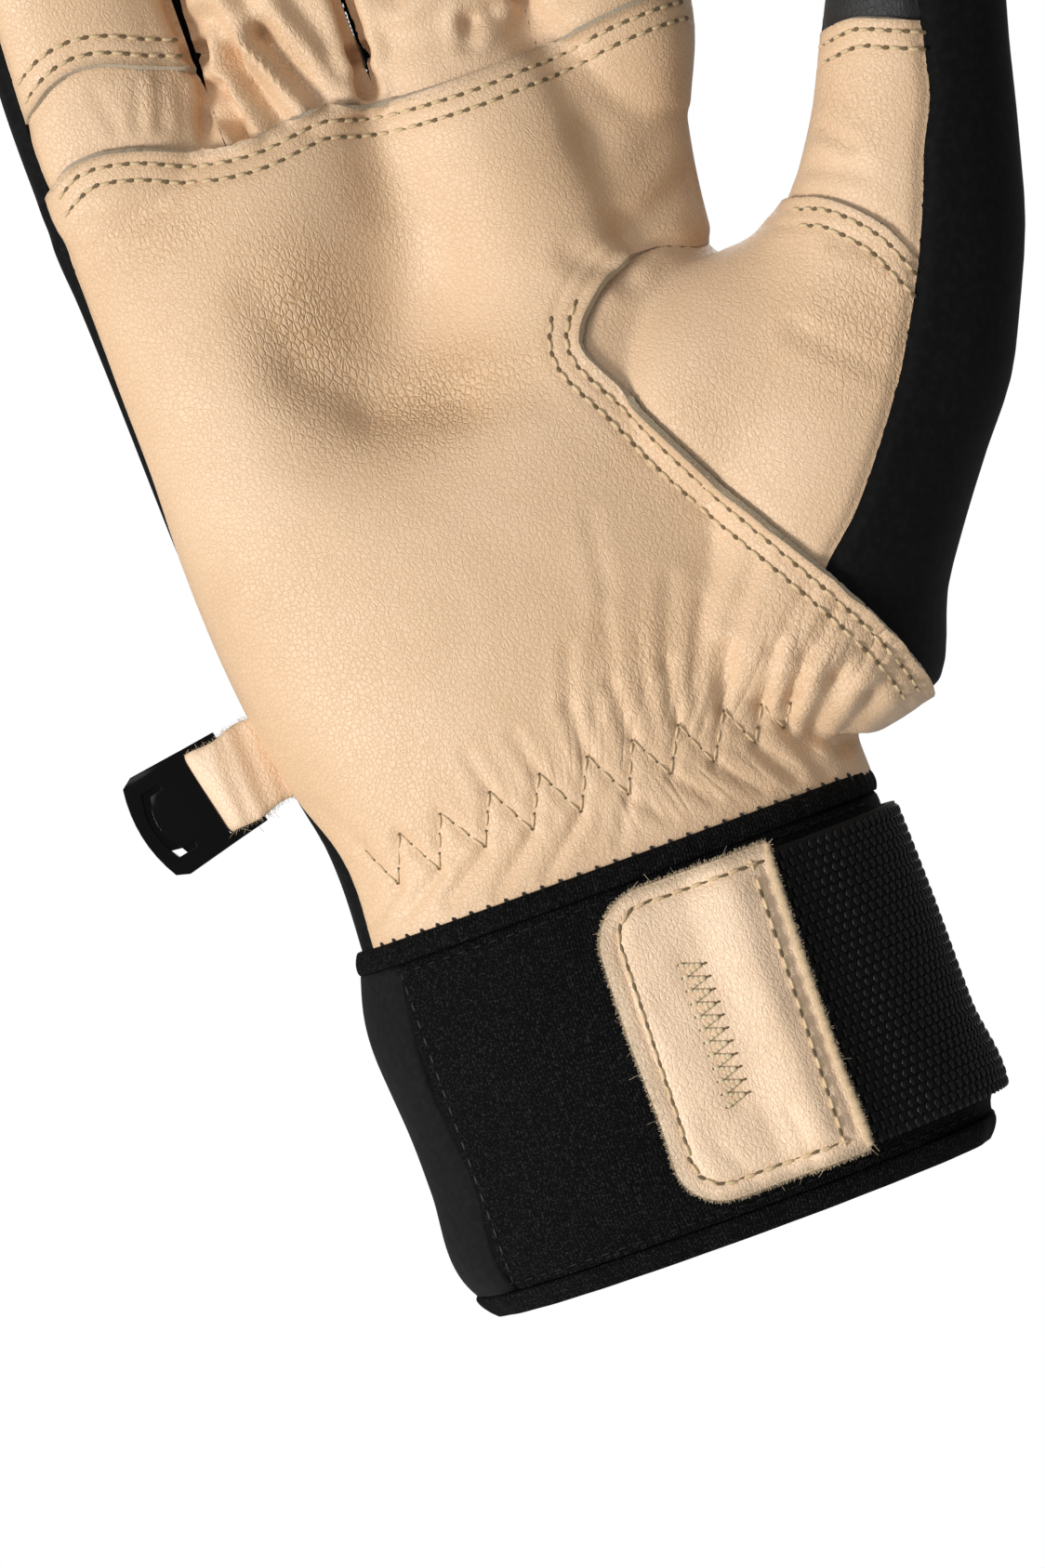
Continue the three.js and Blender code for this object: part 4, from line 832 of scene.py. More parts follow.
# Cuff front and gusset: black rib knit in front, and a smoother softshell gusset round the little
# finger's side and the back. The two are sewn edge to edge, and the cuff's hollow runs on into the
# hand.
CUFF_WIDTH, CUFF_DEPTH, CUFF_WALL = 82.0, 56.0, 3.0
CUFF_ROWS = np.array([  # up, little side, index side, front, back
    (0, -0.468, 0.463, -0.5, 0.47), (0.08, -0.5, 0.492, -0.52, 0.48), (0.35, -0.5, 0.488, -0.52, 0.48),
    (0.63, -0.512, 0.488, -0.52, 0.48), (0.86, -0.502, 0.485, -0.5, 0.47), (1, -0.48, 0.482, -0.47, 0.44),
])
CUFF_POWER = 2.3
KNIT_EDGE, KNIT_END = -35.5, np.radians(25)  # its left edge across, its right end as a turn
KNIT_LOW, KNIT_HIGH = 3.3, 52.6
SLACK_SIDE = 2.9  # where the gusset is slack, as a turn the other way round
SLACK_FOLDS = (  # depth, height, slope, half height, half width
    (0.7, 34, 6, 1.3, 0.4), (0.5, 25, -9, 1.1, 0.3), (0.4, 44, 4, 1.0, 0.3),
)
SEAM_SPREAD = 30  # turns the distance from a seam, in radians, into about one in millimetres


def cuff_points(turn, z, offset):
    """Places on the cuff's round shape, moved outwards by an offset."""
    row = through(CUFF_ROWS, np.ravel(z) / CUFF_TOP)
    shape = np.shape(z)
    left, right = row[:, 1].reshape(shape) * CUFF_WIDTH, row[:, 2].reshape(shape) * CUFF_WIDTH
    front, back = row[:, 3].reshape(shape) * CUFF_DEPTH, row[:, 4].reshape(shape) * CUFF_DEPTH
    x, y = oval(turn, (right - left) / 2 + offset, (back - front) / 2 + offset, CUFF_POWER)
    return np.stack([(left + right) / 2 + x, (front + back) / 2 + y, z], axis=-1)


def front_turn(x):
    """The turn round the cuff where its front is x across."""
    left, right = CUFF_ROWS[2, 1] * CUFF_WIDTH, CUFF_ROWS[2, 2] * CUFF_WIDTH
    share = (x - (left + right) / 2) / ((right - left) / 2)
    return -np.arccos(np.sign(share) * np.abs(share) ** (CUFF_POWER / 2))


def slab(name, outer, inner, materials, around_it=False):
    """A closed sheet between two grids of points, with its own map of lengths in millimetres."""
    rows, columns = outer.shape[:2]
    points = np.concatenate([outer.reshape(-1, 3), inner.reshape(-1, 3)])
    size = rows * columns
    spot = np.arange(size).reshape(rows, columns)
    if around_it:
        spot = np.column_stack([spot, spot[:, 0]])
    quads = [(a, b, c, d) for low, high in zip(spot.tolist(), spot[1:].tolist())
             for a, b, c, d in zip(low, low[1:], high[1:], high)]
    faces = [face for quad in quads for face in (quad, tuple(q + size for q in quad[::-1]))]
    rims = [(b, a) for a, b in zip(spot[0], spot[0, 1:])], [(a, b) for a, b in zip(spot[-1], spot[-1, 1:])]
    faces += [(a, b, b + size, a + size) for pair in zip(*rims) for a, b in pair]
    if not around_it:
        sides = zip(zip(spot[:, 0], spot[1:, 0]), zip(spot[1:, -1], spot[:, -1]))
        faces += [(a, b, b + size, a + size) for pair in sides for a, b in pair]
    mesh = bpy.data.meshes.new(name)
    mesh.from_pydata((points * MM).tolist(), [], faces)
    spread = np.broadcast_to(run_of(outer[rows // 2]), (rows, columns)).reshape(-1)
    rise = outer[..., 2].reshape(-1)
    chart = mesh.uv_layers.new(name="lengths")
    corner = np.empty(len(mesh.loops), dtype=np.int32)
    mesh.loops.foreach_get("vertex_index", corner)
    both = np.column_stack([np.tile(spread, 2), np.tile(rise, 2)])
    chart.data.foreach_set("uv", both[corner].ravel())
    piece = new_piece(name, mesh, materials)
    bm = bmesh.new()
    bm.from_mesh(mesh)
    bmesh.ops.recalc_face_normals(bm, faces=bm.faces)
    bm.to_mesh(mesh)
    bm.free()
    mesh.shade_smooth()
    return piece


def rib_knit(name, base, fleck, loop_wide, loop_high):
    """Rows of V-shaped loops, drawn at their real pitch, with specks of lint that are painted lighter on the
    loops' crowns: a painted highlight.
    """
    material, tree, shader = new_material(name)
    chart = put(tree, "ShaderNodeUVMap", {"uv_map": "lengths"}).outputs[0]
    split = put(tree, "ShaderNodeSeparateXYZ", inputs={0: chart})
    wale = put(tree, "ShaderNodeMath", {"operation": "PINGPONG"}, {0: split.outputs[0], 1: loop_wide / 2})
    lean = put(tree, "ShaderNodeMath", {"operation": "MULTIPLY_ADD"},
               {0: wale.outputs[0], 1: 1.1, 2: split.outputs[1]})
    course = put(tree, "ShaderNodeMath", {"operation": "PINGPONG"}, {0: lean.outputs[0], 1: loop_high / 2})
    ridge = put(tree, "ShaderNodeMath", {"operation": "MULTIPLY"}, {0: wale.outputs[0], 1: 1.3})
    height = put(tree, "ShaderNodeMath", {"operation": "ADD"}, {0: course.outputs[0], 1: ridge.outputs[0]})
    place = put(tree, "ShaderNodeTexCoord").outputs["Object"]
    lint = put(tree, "ShaderNodeTexNoise", inputs={"Vector": place, "Scale": per_mm(0.32), "Detail": 2})
    tone = put(tree, "ShaderNodeMapRange",
               inputs={"Value": lint.outputs["Fac"], "From Min": 0.5, "From Max": 0.72})
    # Painted highlight: the lint specks are lightened only on the loops' crowns.
    lit = put(tree, "ShaderNodeMath", {"operation": "MULTIPLY"}, {0: tone.outputs[0], 1: height.outputs[0]})
    mixed = put(tree, "ShaderNodeMix", {"data_type": "RGBA"},
                {"Factor": lit.outputs[0], 6: linear(base), 7: linear(fleck)})
    bump = put(tree, "ShaderNodeBump",
               inputs={"Height": height.outputs[0], "Strength": 0.9, "Distance": 0.3 * MM})
    feed(tree, shader, {"Base Color": mixed.outputs[2], "Roughness": 0.85, "Specular IOR Level": 0.1,
                        "Normal": bump.outputs[0]})
    return material


# Knitted nylon: dull black, with fine grey specks of lint painted lighter on its loops' crowns as glints:
# painted highlights.
black_knit = rib_knit("black_rib_knit", "#030303", "#4a4a4a", 0.5, 0.42)
# Painted light: the gusset's softshell is a greyer copy of the hand's, since the gusset faces the light.
lit_gusset_softshell = softshell("lit_gusset_softshell", "#0d0d0d", "#181818", rib=0.6, rough=0.8)


def ripple(turn, z):
    """Soft waves in the cuff, as it is worn, and the gusset's slack folds."""
    side = turn + SLACK_SIDE
    waves = 0.35 * np.sin(3.1 * turn + z / 9) * np.sin(z / 7 + 1.2) + 0.22 * np.sin(7.3 * turn - z / 5.2)
    waves += 0.5 * np.exp(-((z - 33) / 10) ** 2) * np.exp(-((side + 0.05) / 0.28) ** 2)
    for deep, level, slope, high, wide in SLACK_FOLDS:
        waves -= deep * np.exp(-((z - level - slope * side) / high) ** 2) * np.exp(-(side / wide) ** 2)
    return waves


def seam_dip(away):
    """How far the fabric sinks at a seam; away is the distance from it in radians."""
    return 0.9 * np.exp(-(away * SEAM_SPREAD / 1.1) ** 2)


def cuff_band(name, start, end, low, high, columns, rows, swell, finish, around_it=False):
    """A band of the cuff between two turns and two heights."""
    turn, z = np.meshgrid(np.linspace(start, end, columns, endpoint=not around_it),
                          np.linspace(low, high, rows))
    outer = cuff_points(turn, z, swell(turn, z))
    return slab(name, outer, cuff_points(turn, z, np.full_like(z, -CUFF_WALL)), (finish,), around_it)


def knit_swell(turn, z):
    dip = np.exp(-((z - KNIT_HIGH) / 0.5) ** 2) * 0.35 + np.exp(-((z - 4.6) / 1.4) ** 2) * 0.5
    return ripple(turn, z) * 0.6 - seam_dip(np.minimum(turn - knit_start, KNIT_END - turn)) - dip - 0.15


knit_start = front_turn(KNIT_EDGE)
gusset_end = knit_start + 2 * np.pi
cuff_knit = cuff_band("cuff_rib_knit", knit_start, KNIT_END, KNIT_LOW, KNIT_HIGH, 150, 76, knit_swell,
                      black_knit)
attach(cuff_knit, "root")
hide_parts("cuff_knit")


def gusset_swell(turn, z):
    return ripple(turn, z) - seam_dip(np.minimum(turn - KNIT_END, gusset_end - turn)) - 0.1


# The gusset wears the greyer, lit copy of the softshell: painted light.
cuff_gusset = cuff_band("cuff_gusset", KNIT_END + 0.003, gusset_end - 0.003, KNIT_LOW, KNIT_HIGH, 190, 60,
                        gusset_swell, lit_gusset_softshell)
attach(cuff_gusset, "root")
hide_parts("cuff_back")

# Hem and binding: strips of the knit folded over the cuff's two edges and sewn down. The hem goes
# round the opening, and the binding covers the seam where the hand joins the cuff.
HEM_LOW, HEM_HIGH = -0.2, 3.1
BINDING_LOW, BINDING_HIGH = 52.7, 56.0


def folded_edge(z, middle):
    """Half round in section, as a strip that is folded over an edge."""
    return np.sqrt(np.maximum(0, 1 - ((z - middle) / 1.75) ** 2)) - 1


def hem_swell(turn, z):
    join = np.exp(-((turn + 0.5) / 0.28) ** 2)  # thicker where its ends are joined
    return 0.5 + 0.9 * folded_edge(z, 1.4) + 1.1 * join + 0.15 * np.sin(turn * 23) + 0.4 * ripple(turn, z)


def binding_swell(turn, z):
    return 0.45 + 0.8 * folded_edge(z, 54.3) + 0.1 * np.sin(turn * 31) + 0.08 * np.sin(turn * 77 + 1)


cuff_hem = cuff_band("cuff_hem", -np.pi, np.pi, HEM_LOW, HEM_HIGH, 320, 12, hem_swell, black_knit, True)
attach(cuff_hem, "root")
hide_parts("cuff_hem")
cuff_binding = cuff_band("cuff_binding", -np.pi, np.pi, BINDING_LOW, BINDING_HIGH, 420, 12, binding_swell,
                         black_knit, True)
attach(cuff_binding, "root")
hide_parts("cuff_binding")

# Seam stitches: two rows of lockstitch in pale polyester thread beside each raw edge. Each stitch
# dips into a needle hole at both ends. One tree lays stitches, holes and yarns along paths.
STITCH = 2.5  # length of a stitch with its hole
FINGER_STITCH_ROWS = (1.9, 4.3)
THUMB_ROW_LOW, THUMB_ROW_HIGH, THUMB_ROW_RIGHT = 64, 133, 50.5
WEB_LOW, WEB_LEFT = 127, 28  # above and right of these the thumb's edge is turned in
FINGER_ROW_LEFT, FINGER_ROW_RIGHT, LITTLE_ROW_RIGHT = -42, 51, -19.8
BAND_ROW_LEFT, TOP_ROW_LEFT = 56, 67


def inputs_of(tree, named):
    """Gives a tree its paths, its named inputs and its output."""
    tree.interface.new_socket("Paths", in_out="INPUT", socket_type="NodeSocketGeometry")
    for name, kind in named.items():
        tree.interface.new_socket(name, in_out="INPUT", socket_type=f"NodeSocket{kind}")
    tree.interface.new_socket("Geometry", in_out="OUTPUT", socket_type="NodeSocketGeometry")
    return put(tree, "NodeGroupInput").outputs


def lockstitch_tree():
    tree = bpy.data.node_groups.new("lockstitch", "GeometryNodeTree")
    given = inputs_of(tree, {"Pitch": "Float", "Size": "Vector", "Shift": "Vector", "Turn": "Vector",
                             "Sides": "Int", "Rings": "Int", "Thread": "Material"})
    curve = put(tree, "GeometryNodeMeshToCurve", inputs={"Mesh": given["Paths"]})
    spaced = put(tree, "GeometryNodeResampleCurve", {"mode": "LENGTH"},
                 {"Curve": curve.outputs[0], "Length": given["Pitch"]})
    bead = put(tree, "GeometryNodeMeshUVSphere",
               inputs={"Segments": given["Sides"], "Rings": given["Rings"], "Radius": 0.5})
    shaped = put(tree, "GeometryNodeTransform",
                 inputs={"Geometry": bead.outputs[0], "Scale": given["Size"], "Translation": given["Shift"],
                         "Rotation": given["Turn"]})
    along = put(tree, "FunctionNodeAlignRotationToVector", {"axis": "X"},
                {"Vector": put(tree, "GeometryNodeInputTangent").outputs[0]})
    out = put(tree, "GeometryNodeInputNamedAttribute", {"data_type": "FLOAT_VECTOR"}, {"Name": "out"})
    upright = put(tree, "FunctionNodeAlignRotationToVector", {"axis": "Z", "pivot_axis": "X"},
                  {"Rotation": along.outputs[0], "Vector": out.outputs[0]})
    laid = put(tree, "GeometryNodeInstanceOnPoints",
               inputs={"Points": spaced.outputs[0], "Instance": shaped.outputs[0],
                       "Rotation": upright.outputs[0]})
    smooth = put(tree, "GeometryNodeSetShadeSmooth", inputs={"Geometry": laid.outputs[0]})
    plain = put(tree, "GeometryNodeRealizeInstances", inputs={"Geometry": smooth.outputs[0]})
    coloured = put(tree, "GeometryNodeSetMaterial",
                   inputs={"Geometry": plain.outputs[0], "Material": given["Thread"]})
    put(tree, "NodeGroupOutput", inputs={0: coloured.outputs[0]})
    return tree


def yarn(name, base, deep, rough=0.6, twist=0.5, shine=0.4):
    """Spun thread or yarn, mottled by its plies."""
    material, tree, shader = new_material(name)
    place = put(tree, "ShaderNodeTexCoord").outputs["Object"]
    ply = put(tree, "ShaderNodeTexNoise", inputs={"Vector": place, "Scale": per_mm(twist), "Detail": 3})
    mixed = put(tree, "ShaderNodeMix", {"data_type": "RGBA"},
                {"Factor": ply.outputs["Fac"], 6: linear(base), 7: linear(deep)})
    bump = put(tree, "ShaderNodeBump",
               inputs={"Height": ply.outputs["Fac"], "Strength": 0.6, "Distance": 0.1 * MM})
    feed(tree, shader, {"Base Color": mixed.outputs[2], "Roughness": rough, "Specular IOR Level": shine,
                        "Normal": bump.outputs[0]})
    return material


lockstitch = lockstitch_tree()
# Pale polyester thread: a soft gloss, and lighter than the leather.
pale_thread = yarn("pale_polyester_thread", "#e0cba6", "#bda177")
# Painted shade: a pierced hole in goatskin, drawn as a brown bead darker than the leather that stands in for
# the shade in the hole and in the dimple round it.
painted_hole_shade = suede("needle_hole", "#7c6745", "#5d4c31")


def laid_out(name, paths, tree, values):
    """What a tree makes along paths of (points, outward normals), in millimetres, as one plain mesh."""
    spots = np.concatenate([p for p, _ in paths])
    links, start = [], 0
    for p, _ in paths:
        links += [(start + k, start + k + 1) for k in range(len(p) - 1)]
        start += len(p)
    mesh = bpy.data.meshes.new(name)
    mesh.from_pydata((spots * MM).tolist(), links, [])
    mark(mesh, out=np.concatenate([n for _, n in paths]))
    piece = new_piece(name, mesh)
    maker = piece.modifiers.new("laying", "NODES")
    maker.node_group = tree
    for socket in tree.interface.items_tree:
        if socket.in_out == "INPUT" and socket.name in values:
            maker[socket.identifier] = values[socket.name]
    settle(piece)
    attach(piece, "root")
    return piece


def sew(name, paths, material, pitch, size, shift=(0, 0, 0), turn=(0, 0, 0), sides=8, rings=5):
    """Stitches along paths; size is a stitch's length, width and height."""
    values = {"Pitch": pitch * MM, "Size": [v * MM for v in size], "Shift": [v * MM for v in shift],
              "Turn": list(turn), "Sides": sides, "Rings": rings, "Thread": material}
    return laid_out(name, paths, lockstitch, values)


def surface_of(pieces):
    """One search tree over the pieces' meshes, in millimetres."""
    spots, triangles, start = [], [], 0
    for piece in pieces:
        p, f, _ = read(piece.data)
        spots.append(p)
        triangles.append(f + start)
        start += len(p)
    return BVHTree.FromPolygons(np.concatenate(spots).tolist(), np.concatenate(triangles).tolist())


hand_surface = surface_of(front_pieces)


def lay_on(tree, flat, lift=0.0):
    """A front-view path laid on a surface from in front."""
    spots, outs = [], []
    for x, z in flat:
        hit, normal, _, _ = tree.ray_cast(Vector((x, -150, z)), Vector((0, 1, 0)))
        if hit is None:
            continue
        if normal.y > 0:
            normal = -normal
        spots.append(np.array(hit) + np.array(normal) * lift)
        outs.append(np.array(normal))
    return np.array(spots), np.array(outs)


def beside(line, distance):
    """A front-view line moved to its left by a distance, in fine steps."""
    run = run_of(line)
    fine = np.linspace(0, run[-1], int(run[-1] / 0.5) + 1)
    path = np.column_stack([np.interp(fine, run, line[:, k]) for k in range(2)])
    along = np.gradient(path, axis=0)
    along /= np.linalg.norm(along, axis=1)[:, None]
    return path + distance * np.column_stack([-along[:, 1], along[:, 0]])


def stretch_of(path, keep):
    """The part of a path that a rule on x and z keeps."""
    return path[keep(path[:, 0], path[:, 1])]


def on_thumb(x, z):
    """Inside the thumb's leather, clear of its seam with the fabric."""
    return side_of(np.column_stack([x, x, z]), thumb_edge) > 1.0


def along_thumb(inset):
    """Rows that end short of the web."""
    return lambda x, z: ((z > THUMB_ROW_LOW) & (z < THUMB_ROW_HIGH - inset / 2)
                         & ((z < WEB_LOW) | (x < WEB_LEFT)) & (x < THUMB_ROW_RIGHT))


def across(left, right):
    return lambda x, z: (x > left) & (x < right)


seam_rows = []
for inset in STITCH_ROWS:
    seam_rows += [
        stretch_of(beside(thumb_seam, inset), along_thumb(inset)),
        stretch_of(beside(finger_seam, -inset), across(FINGER_ROW_LEFT, FINGER_ROW_RIGHT)),
        stretch_of(beside(thumb_band, -inset), lambda x, z: (x > BAND_ROW_LEFT) & on_thumb(x, z)),
        stretch_of(beside(thumb_top, -inset), lambda x, z: (x > TOP_ROW_LEFT) & on_thumb(x, z)),
        stretch_of(beside(across_bands("little"), inset), across(FINGER_ROW_LEFT, LITTLE_ROW_RIGHT)),
    ]
for finger in ("ring", "middle", "index"):
    left, width = FINGERS[finger][:2]
    for inset in FINGER_STITCH_ROWS:
        seam_rows.append(stretch_of(beside(across_bands(finger), inset), across(left + 3, left + width + 2)))
seam_paths = [lay_on(hand_surface, row) for row in seam_rows]
seam_paths = [(p, n) for p, n in seam_paths if len(p) > 3]
seam_thread = sew("seam_stitches", seam_paths, pale_thread, STITCH, (1.75, 0.62, 0.6), (0, 0, 0.1))
# Dark beads where each stitch dips into the leather: painted shade of the needle holes.
seam_shade_beads = sew("seam_hole_shade", seam_paths, painted_hole_shade, STITCH, (1.15, 0.72, 0.3), (STITCH / 2, 0, 0.0),
                 sides=7)

# Zigzag: finer pale thread over the wrist's elastic, sewn through leather and lining in long slanted
# legs, with three stitches to a leg. It holds the stretched elastic, which puckers the leather.
ZIGZAG_STITCH = 2.15


def straight(a, b, spare):
    """A line from a to b, shorter by spare at each end."""
    a, b = np.array(a, dtype=float), np.array(b, dtype=float)
    along = (b - a) / np.linalg.norm(b - a)
    return beside(np.array([a + along * spare, b - along * spare]), 0)


zigzag_paths = [lay_on(hand_surface, straight(a, b, 1.2)) for a, b in zip(ZIGZAG, ZIGZAG[1:])]
zigzag_thread = sew("elastic_zigzag", zigzag_paths, pale_thread, ZIGZAG_STITCH, (2.0, 0.42, 0.4),
                    (0, 0, 0.08))
# Dark beads where each stitch dips into the leather: painted shade of the needle holes.
zigzag_shade_beads = sew("elastic_hole_shade", zigzag_paths, painted_hole_shade, ZIGZAG_STITCH, (0.5, 0.5, 0.2),
                   (1.1, 0, 0), sides=6)

# Black stitches: overlock loops that bite into the leather's lower edge at the binding, a row of
# topstitching along both edges of the knit, and one down its seam with the gusset.
BLACK_STITCH, TICK = 2.6, 2.7
TICK_LEVEL, KNIT_ROW_LEVELS = 55.9, (51.4, 4.4)
# Black polyester thread: glossier than the leather and fabric that it binds.
black_thread = yarn("black_polyester_thread", "#1d1d1d", "#0b0b0b")
# Fuzzy black thread, sunk in the knit: duller.
black_topstitch = yarn("black_topstitch", "#080808", "#030303", rough=0.6, shine=0.2)
tick_line = np.column_stack([np.linspace(-35, 36, 140), np.full(140, TICK_LEVEL)])
ticks = sew("overlock_ticks", [lay_on(hand_surface, tick_line, 0.1)], black_thread, TICK, (0.7, 1.9, 0.6),
            (0, -0.2, 0), (0, 0, 0.5))
knit_surface = surface_of([cuff_knit, cuff_gusset])
knit_rows = [lay_on(knit_surface, np.column_stack([np.linspace(-34.5, 36, 150), np.full(150, level)]), 0.05)
             for level in KNIT_ROW_LEVELS]
edge_rows = sew("knit_stitches", knit_rows, black_topstitch, BLACK_STITCH, (1.9, 0.5, 0.4))
side_line = np.column_stack([np.full(90, KNIT_EDGE + 1.6), np.linspace(5, 51, 90)])
side_row = sew("gusset_stitches", [lay_on(knit_surface, side_line, 0.05)], black_thread, BLACK_STITCH,
               (1.7, 0.45, 0.35))

# Closure strap: coarse woven nylon webbing, 44 mm wide, sewn down at the back of the cuff and drawn
# round the thumb's side to its end under the tab. Its yarns stand out as staggered beads, drawn at
# their real pitch, on the outside of a flat band.
STRAP_LOW, STRAP_WIDTH, STRAP_THICK = 6.2, 44.0, 2.0
STRAP_END, STRAP_SEWN = 13.2, np.radians(128)  # its front end across, its back end as a turn
GAP = 0.3
YARN_WIDE, YARN_HIGH = 1.55, 1.4
# Filament nylon: black, with a small sharp light on each yarn's crown.
webbing = yarn("black_nylon_webbing", "#050505", "#020202", rough=0.34, twist=0.4, shine=0.3)
# The weave between the yarns, in their shade: dull.
strap_band = yarn("black_webbing_ground", "#050505", "#020202", rough=0.9)
turn, z = np.meshgrid(np.linspace(front_turn(STRAP_END), STRAP_SEWN, 130),
                      np.linspace(STRAP_LOW, STRAP_LOW + STRAP_WIDTH, 40))
outer = cuff_points(turn, z, np.full_like(z, GAP + STRAP_THICK - 0.55))
strap = slab("closure_strap", outer, cuff_points(turn, z, np.full_like(z, GAP)), (strap_band,))
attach(strap, "root")
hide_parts("closure_strap")
yarn_rows = []
turn = np.linspace(front_turn(STRAP_END + 3), STRAP_SEWN - 0.01, 300)
for k in range(int(STRAP_WIDTH / YARN_HIGH)):
    z = np.full_like(turn, STRAP_LOW + (k + 0.5) * YARN_HIGH)
    line = cuff_points(turn, z, np.full_like(turn, GAP + STRAP_THICK - 0.5))
    out = line - cuff_points(turn, z, np.full_like(turn, GAP))
    first = np.searchsorted(run_of(line), YARN_WIDE / 2 * (k % 2))
    yarn_rows.append((line[first:], (out / np.linalg.norm(out, axis=1)[:, None])[first:]))
yarns = sew("webbing_yarns", yarn_rows, webbing, YARN_WIDE, (0.85, 1.7, 0.75), sides=8, rings=5)

# Strap tab: goatskin sewn over the strap's end, with two round corners and a cut edge all round. A
# second strip of the same leather is folded along its right side, and one row of stitches runs
# inside the edge.
TAB_RIGHT, TAB_WIDTH, TAB_LOW, TAB_HIGH, TAB_THICK, TAB_CORNER = 19.3, 24.7, 5.8, 51.5, 1.5, 7.0
TAB_BORDER, TAB_LEAN = 2.4, 0.029  # the stitches' inset; the right edge's slope
TAB_COLUMNS, TAB_ROWS = 90, 110
TAB_STITCH = 2.8
TAB_CREASES = ((10.2, 15, 10.6, 6, 0.3, 0.8), (0, 14, 3, 7, 0.15, 0.9), (4.6, 18, 4.6, 40, 0.25, 1.6))
# Painted light: the same goatskin as the palm, made paler to stand in for light that the tab and the loop
# lack.
lit_goatskin = goatskin("lit_tan_goatskin", "#f0d3b4", "#dcba95")
# Painted light: a narrow strip seen edge on, its cut fibres drawn paler than the other cut edges as if lit
# from the side.
lit_strip_suede = suede("lit_cut_goatskin_edge", "#dcc3a0", "#b79b75")


def tab_right(z):
    return TAB_RIGHT + TAB_LEAN * (z - TAB_HIGH)


def tab_left(z):
    inside = np.clip(TAB_CORNER - np.minimum(z - TAB_LOW, TAB_HIGH - z), 0, TAB_CORNER)
    return tab_right(z) - TAB_WIDTH + TAB_CORNER - np.sqrt(TAB_CORNER ** 2 - inside ** 2)


def tab_lift(x):
    """The tab lies on the knit at its left and on the strap at its right."""
    return GAP + (GAP + STRAP_THICK) * ease((x - 6.6) / 7)


def tab_border():
    """The stitched line, inset from the tab's edge on all four sides."""
    low, high = TAB_LOW + TAB_BORDER, TAB_HIGH - TAB_BORDER
    left, right, radius = TAB_RIGHT - TAB_WIDTH + TAB_BORDER, TAB_RIGHT - 1.2, TAB_CORNER - TAB_BORDER
    bend = np.linspace(0, np.pi / 2, 8)
    lower = [(left + radius * (1 - np.cos(t)), low + radius * (1 - np.sin(t))) for t in bend]
    upper = [(left + radius * (1 - np.cos(t)), high - radius * (1 - np.sin(t))) for t in bend]
    line = np.array([(right, low), *lower[::-1], *upper, (right, high), (right, low)])
    line[:, 0] += tab_right(line[:, 1]) - TAB_RIGHT
    return line


turn_of = np.vectorize(front_turn)
rise = TAB_LOW + (TAB_HIGH - TAB_LOW) * (1 - np.cos(np.linspace(0, np.pi, TAB_ROWS))) / 2
share, z = np.meshgrid(np.linspace(0, 1, TAB_COLUMNS), rise)
x = tab_left(z) + (tab_right(z) - tab_left(z)) * share
border = tab_border()
flat = np.column_stack([x.ravel(), np.zeros(x.size), z.ravel()])
away = np.min([line_distance(flat, a, b)[0] for a, b in zip(border, border[1:])], axis=0).reshape(x.shape)
beyond = np.minimum.reduce([x - tab_left(z), z - TAB_LOW, TAB_HIGH - z])  # from the three cut edges
edge = np.minimum(beyond, tab_right(z) - x)
inside = edge - TAB_BORDER
strap_end = np.exp(-((x - 12.8 - TAB_LEAN * (z - TAB_HIGH)) / 2.6) ** 2) * ease(inside / 3)
swell = (TAB_THICK - 0.35 * np.exp(-(away / 0.6) ** 2) + 0.25 * ease(inside / 2.5)
         - 0.2 * np.exp(-(edge / 0.4) ** 2) + 0.05 * np.sin(x * 0.9 + z * 0.3)
         + 0.05 * np.sin(z * 0.7 - x * 0.5) + 0.22 * strap_end)
for x0, z0, x1, z1, deep, half in TAB_CREASES:
    gap = line_distance(flat, (x0, z0), (x1, z1))[0].reshape(x.shape)
    swell -= deep * np.exp(-(gap / half) ** 2)
# The tab's goatskin is the paler, lit copy of the palm's: painted light.
tab = slab("strap_tab", cuff_points(turn_of(x), z, tab_lift(x) + swell),
           cuff_points(turn_of(x), z, tab_lift(x)), (lit_goatskin, cut_suede))
for face in tab.data.polygons[4 - 2 * (TAB_COLUMNS + TAB_ROWS):]:
    face.material_index = 1
tab.data.set_sharp_from_angle(angle=np.radians(40))
worn_edge = np.tile(np.ravel(1 - ease((beyond - 0.2) / 1.9)), 2)
mark(tab.data, rub=worn_edge, flex=np.full(len(worn_edge), 0.3))
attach(tab, "root")
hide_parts("strap_tab")
share, z = np.meshgrid(np.linspace(0, 1, 8), np.linspace(TAB_LOW + 0.5, TAB_HIGH - 0.2, 120))
x = tab_right(z) - 0.75 + 1.05 * share + 0.06 * np.sin(z * 3.1) + 0.05 * np.sin(z * 7.7)
crown = 0.5 * np.sqrt(np.maximum(0.05, 1 - (2 * share - 1) ** 2)) + 0.05 * np.sin(z * 5.3 + 4 * share)
# The strip's edge wears the paler, lit copy of the cut suede: painted light.
strip = slab("tab_edge_strip", cuff_points(turn_of(x), z, tab_lift(x) + TAB_THICK - 0.2 + crown),
             cuff_points(turn_of(x), z, tab_lift(x) + 0.4), (lit_strip_suede,))
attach(strip, "root")
tab_surface = surface_of([tab])
tab_seam = [lay_on(tab_surface, beside(np.array(part), 0)) for part in (border[:-1], border[-2:])]
tab_thread = sew("tab_stitches", tab_seam, pale_thread, TAB_STITCH, (1.9, 0.55, 0.6), (0, 0, 0.2))
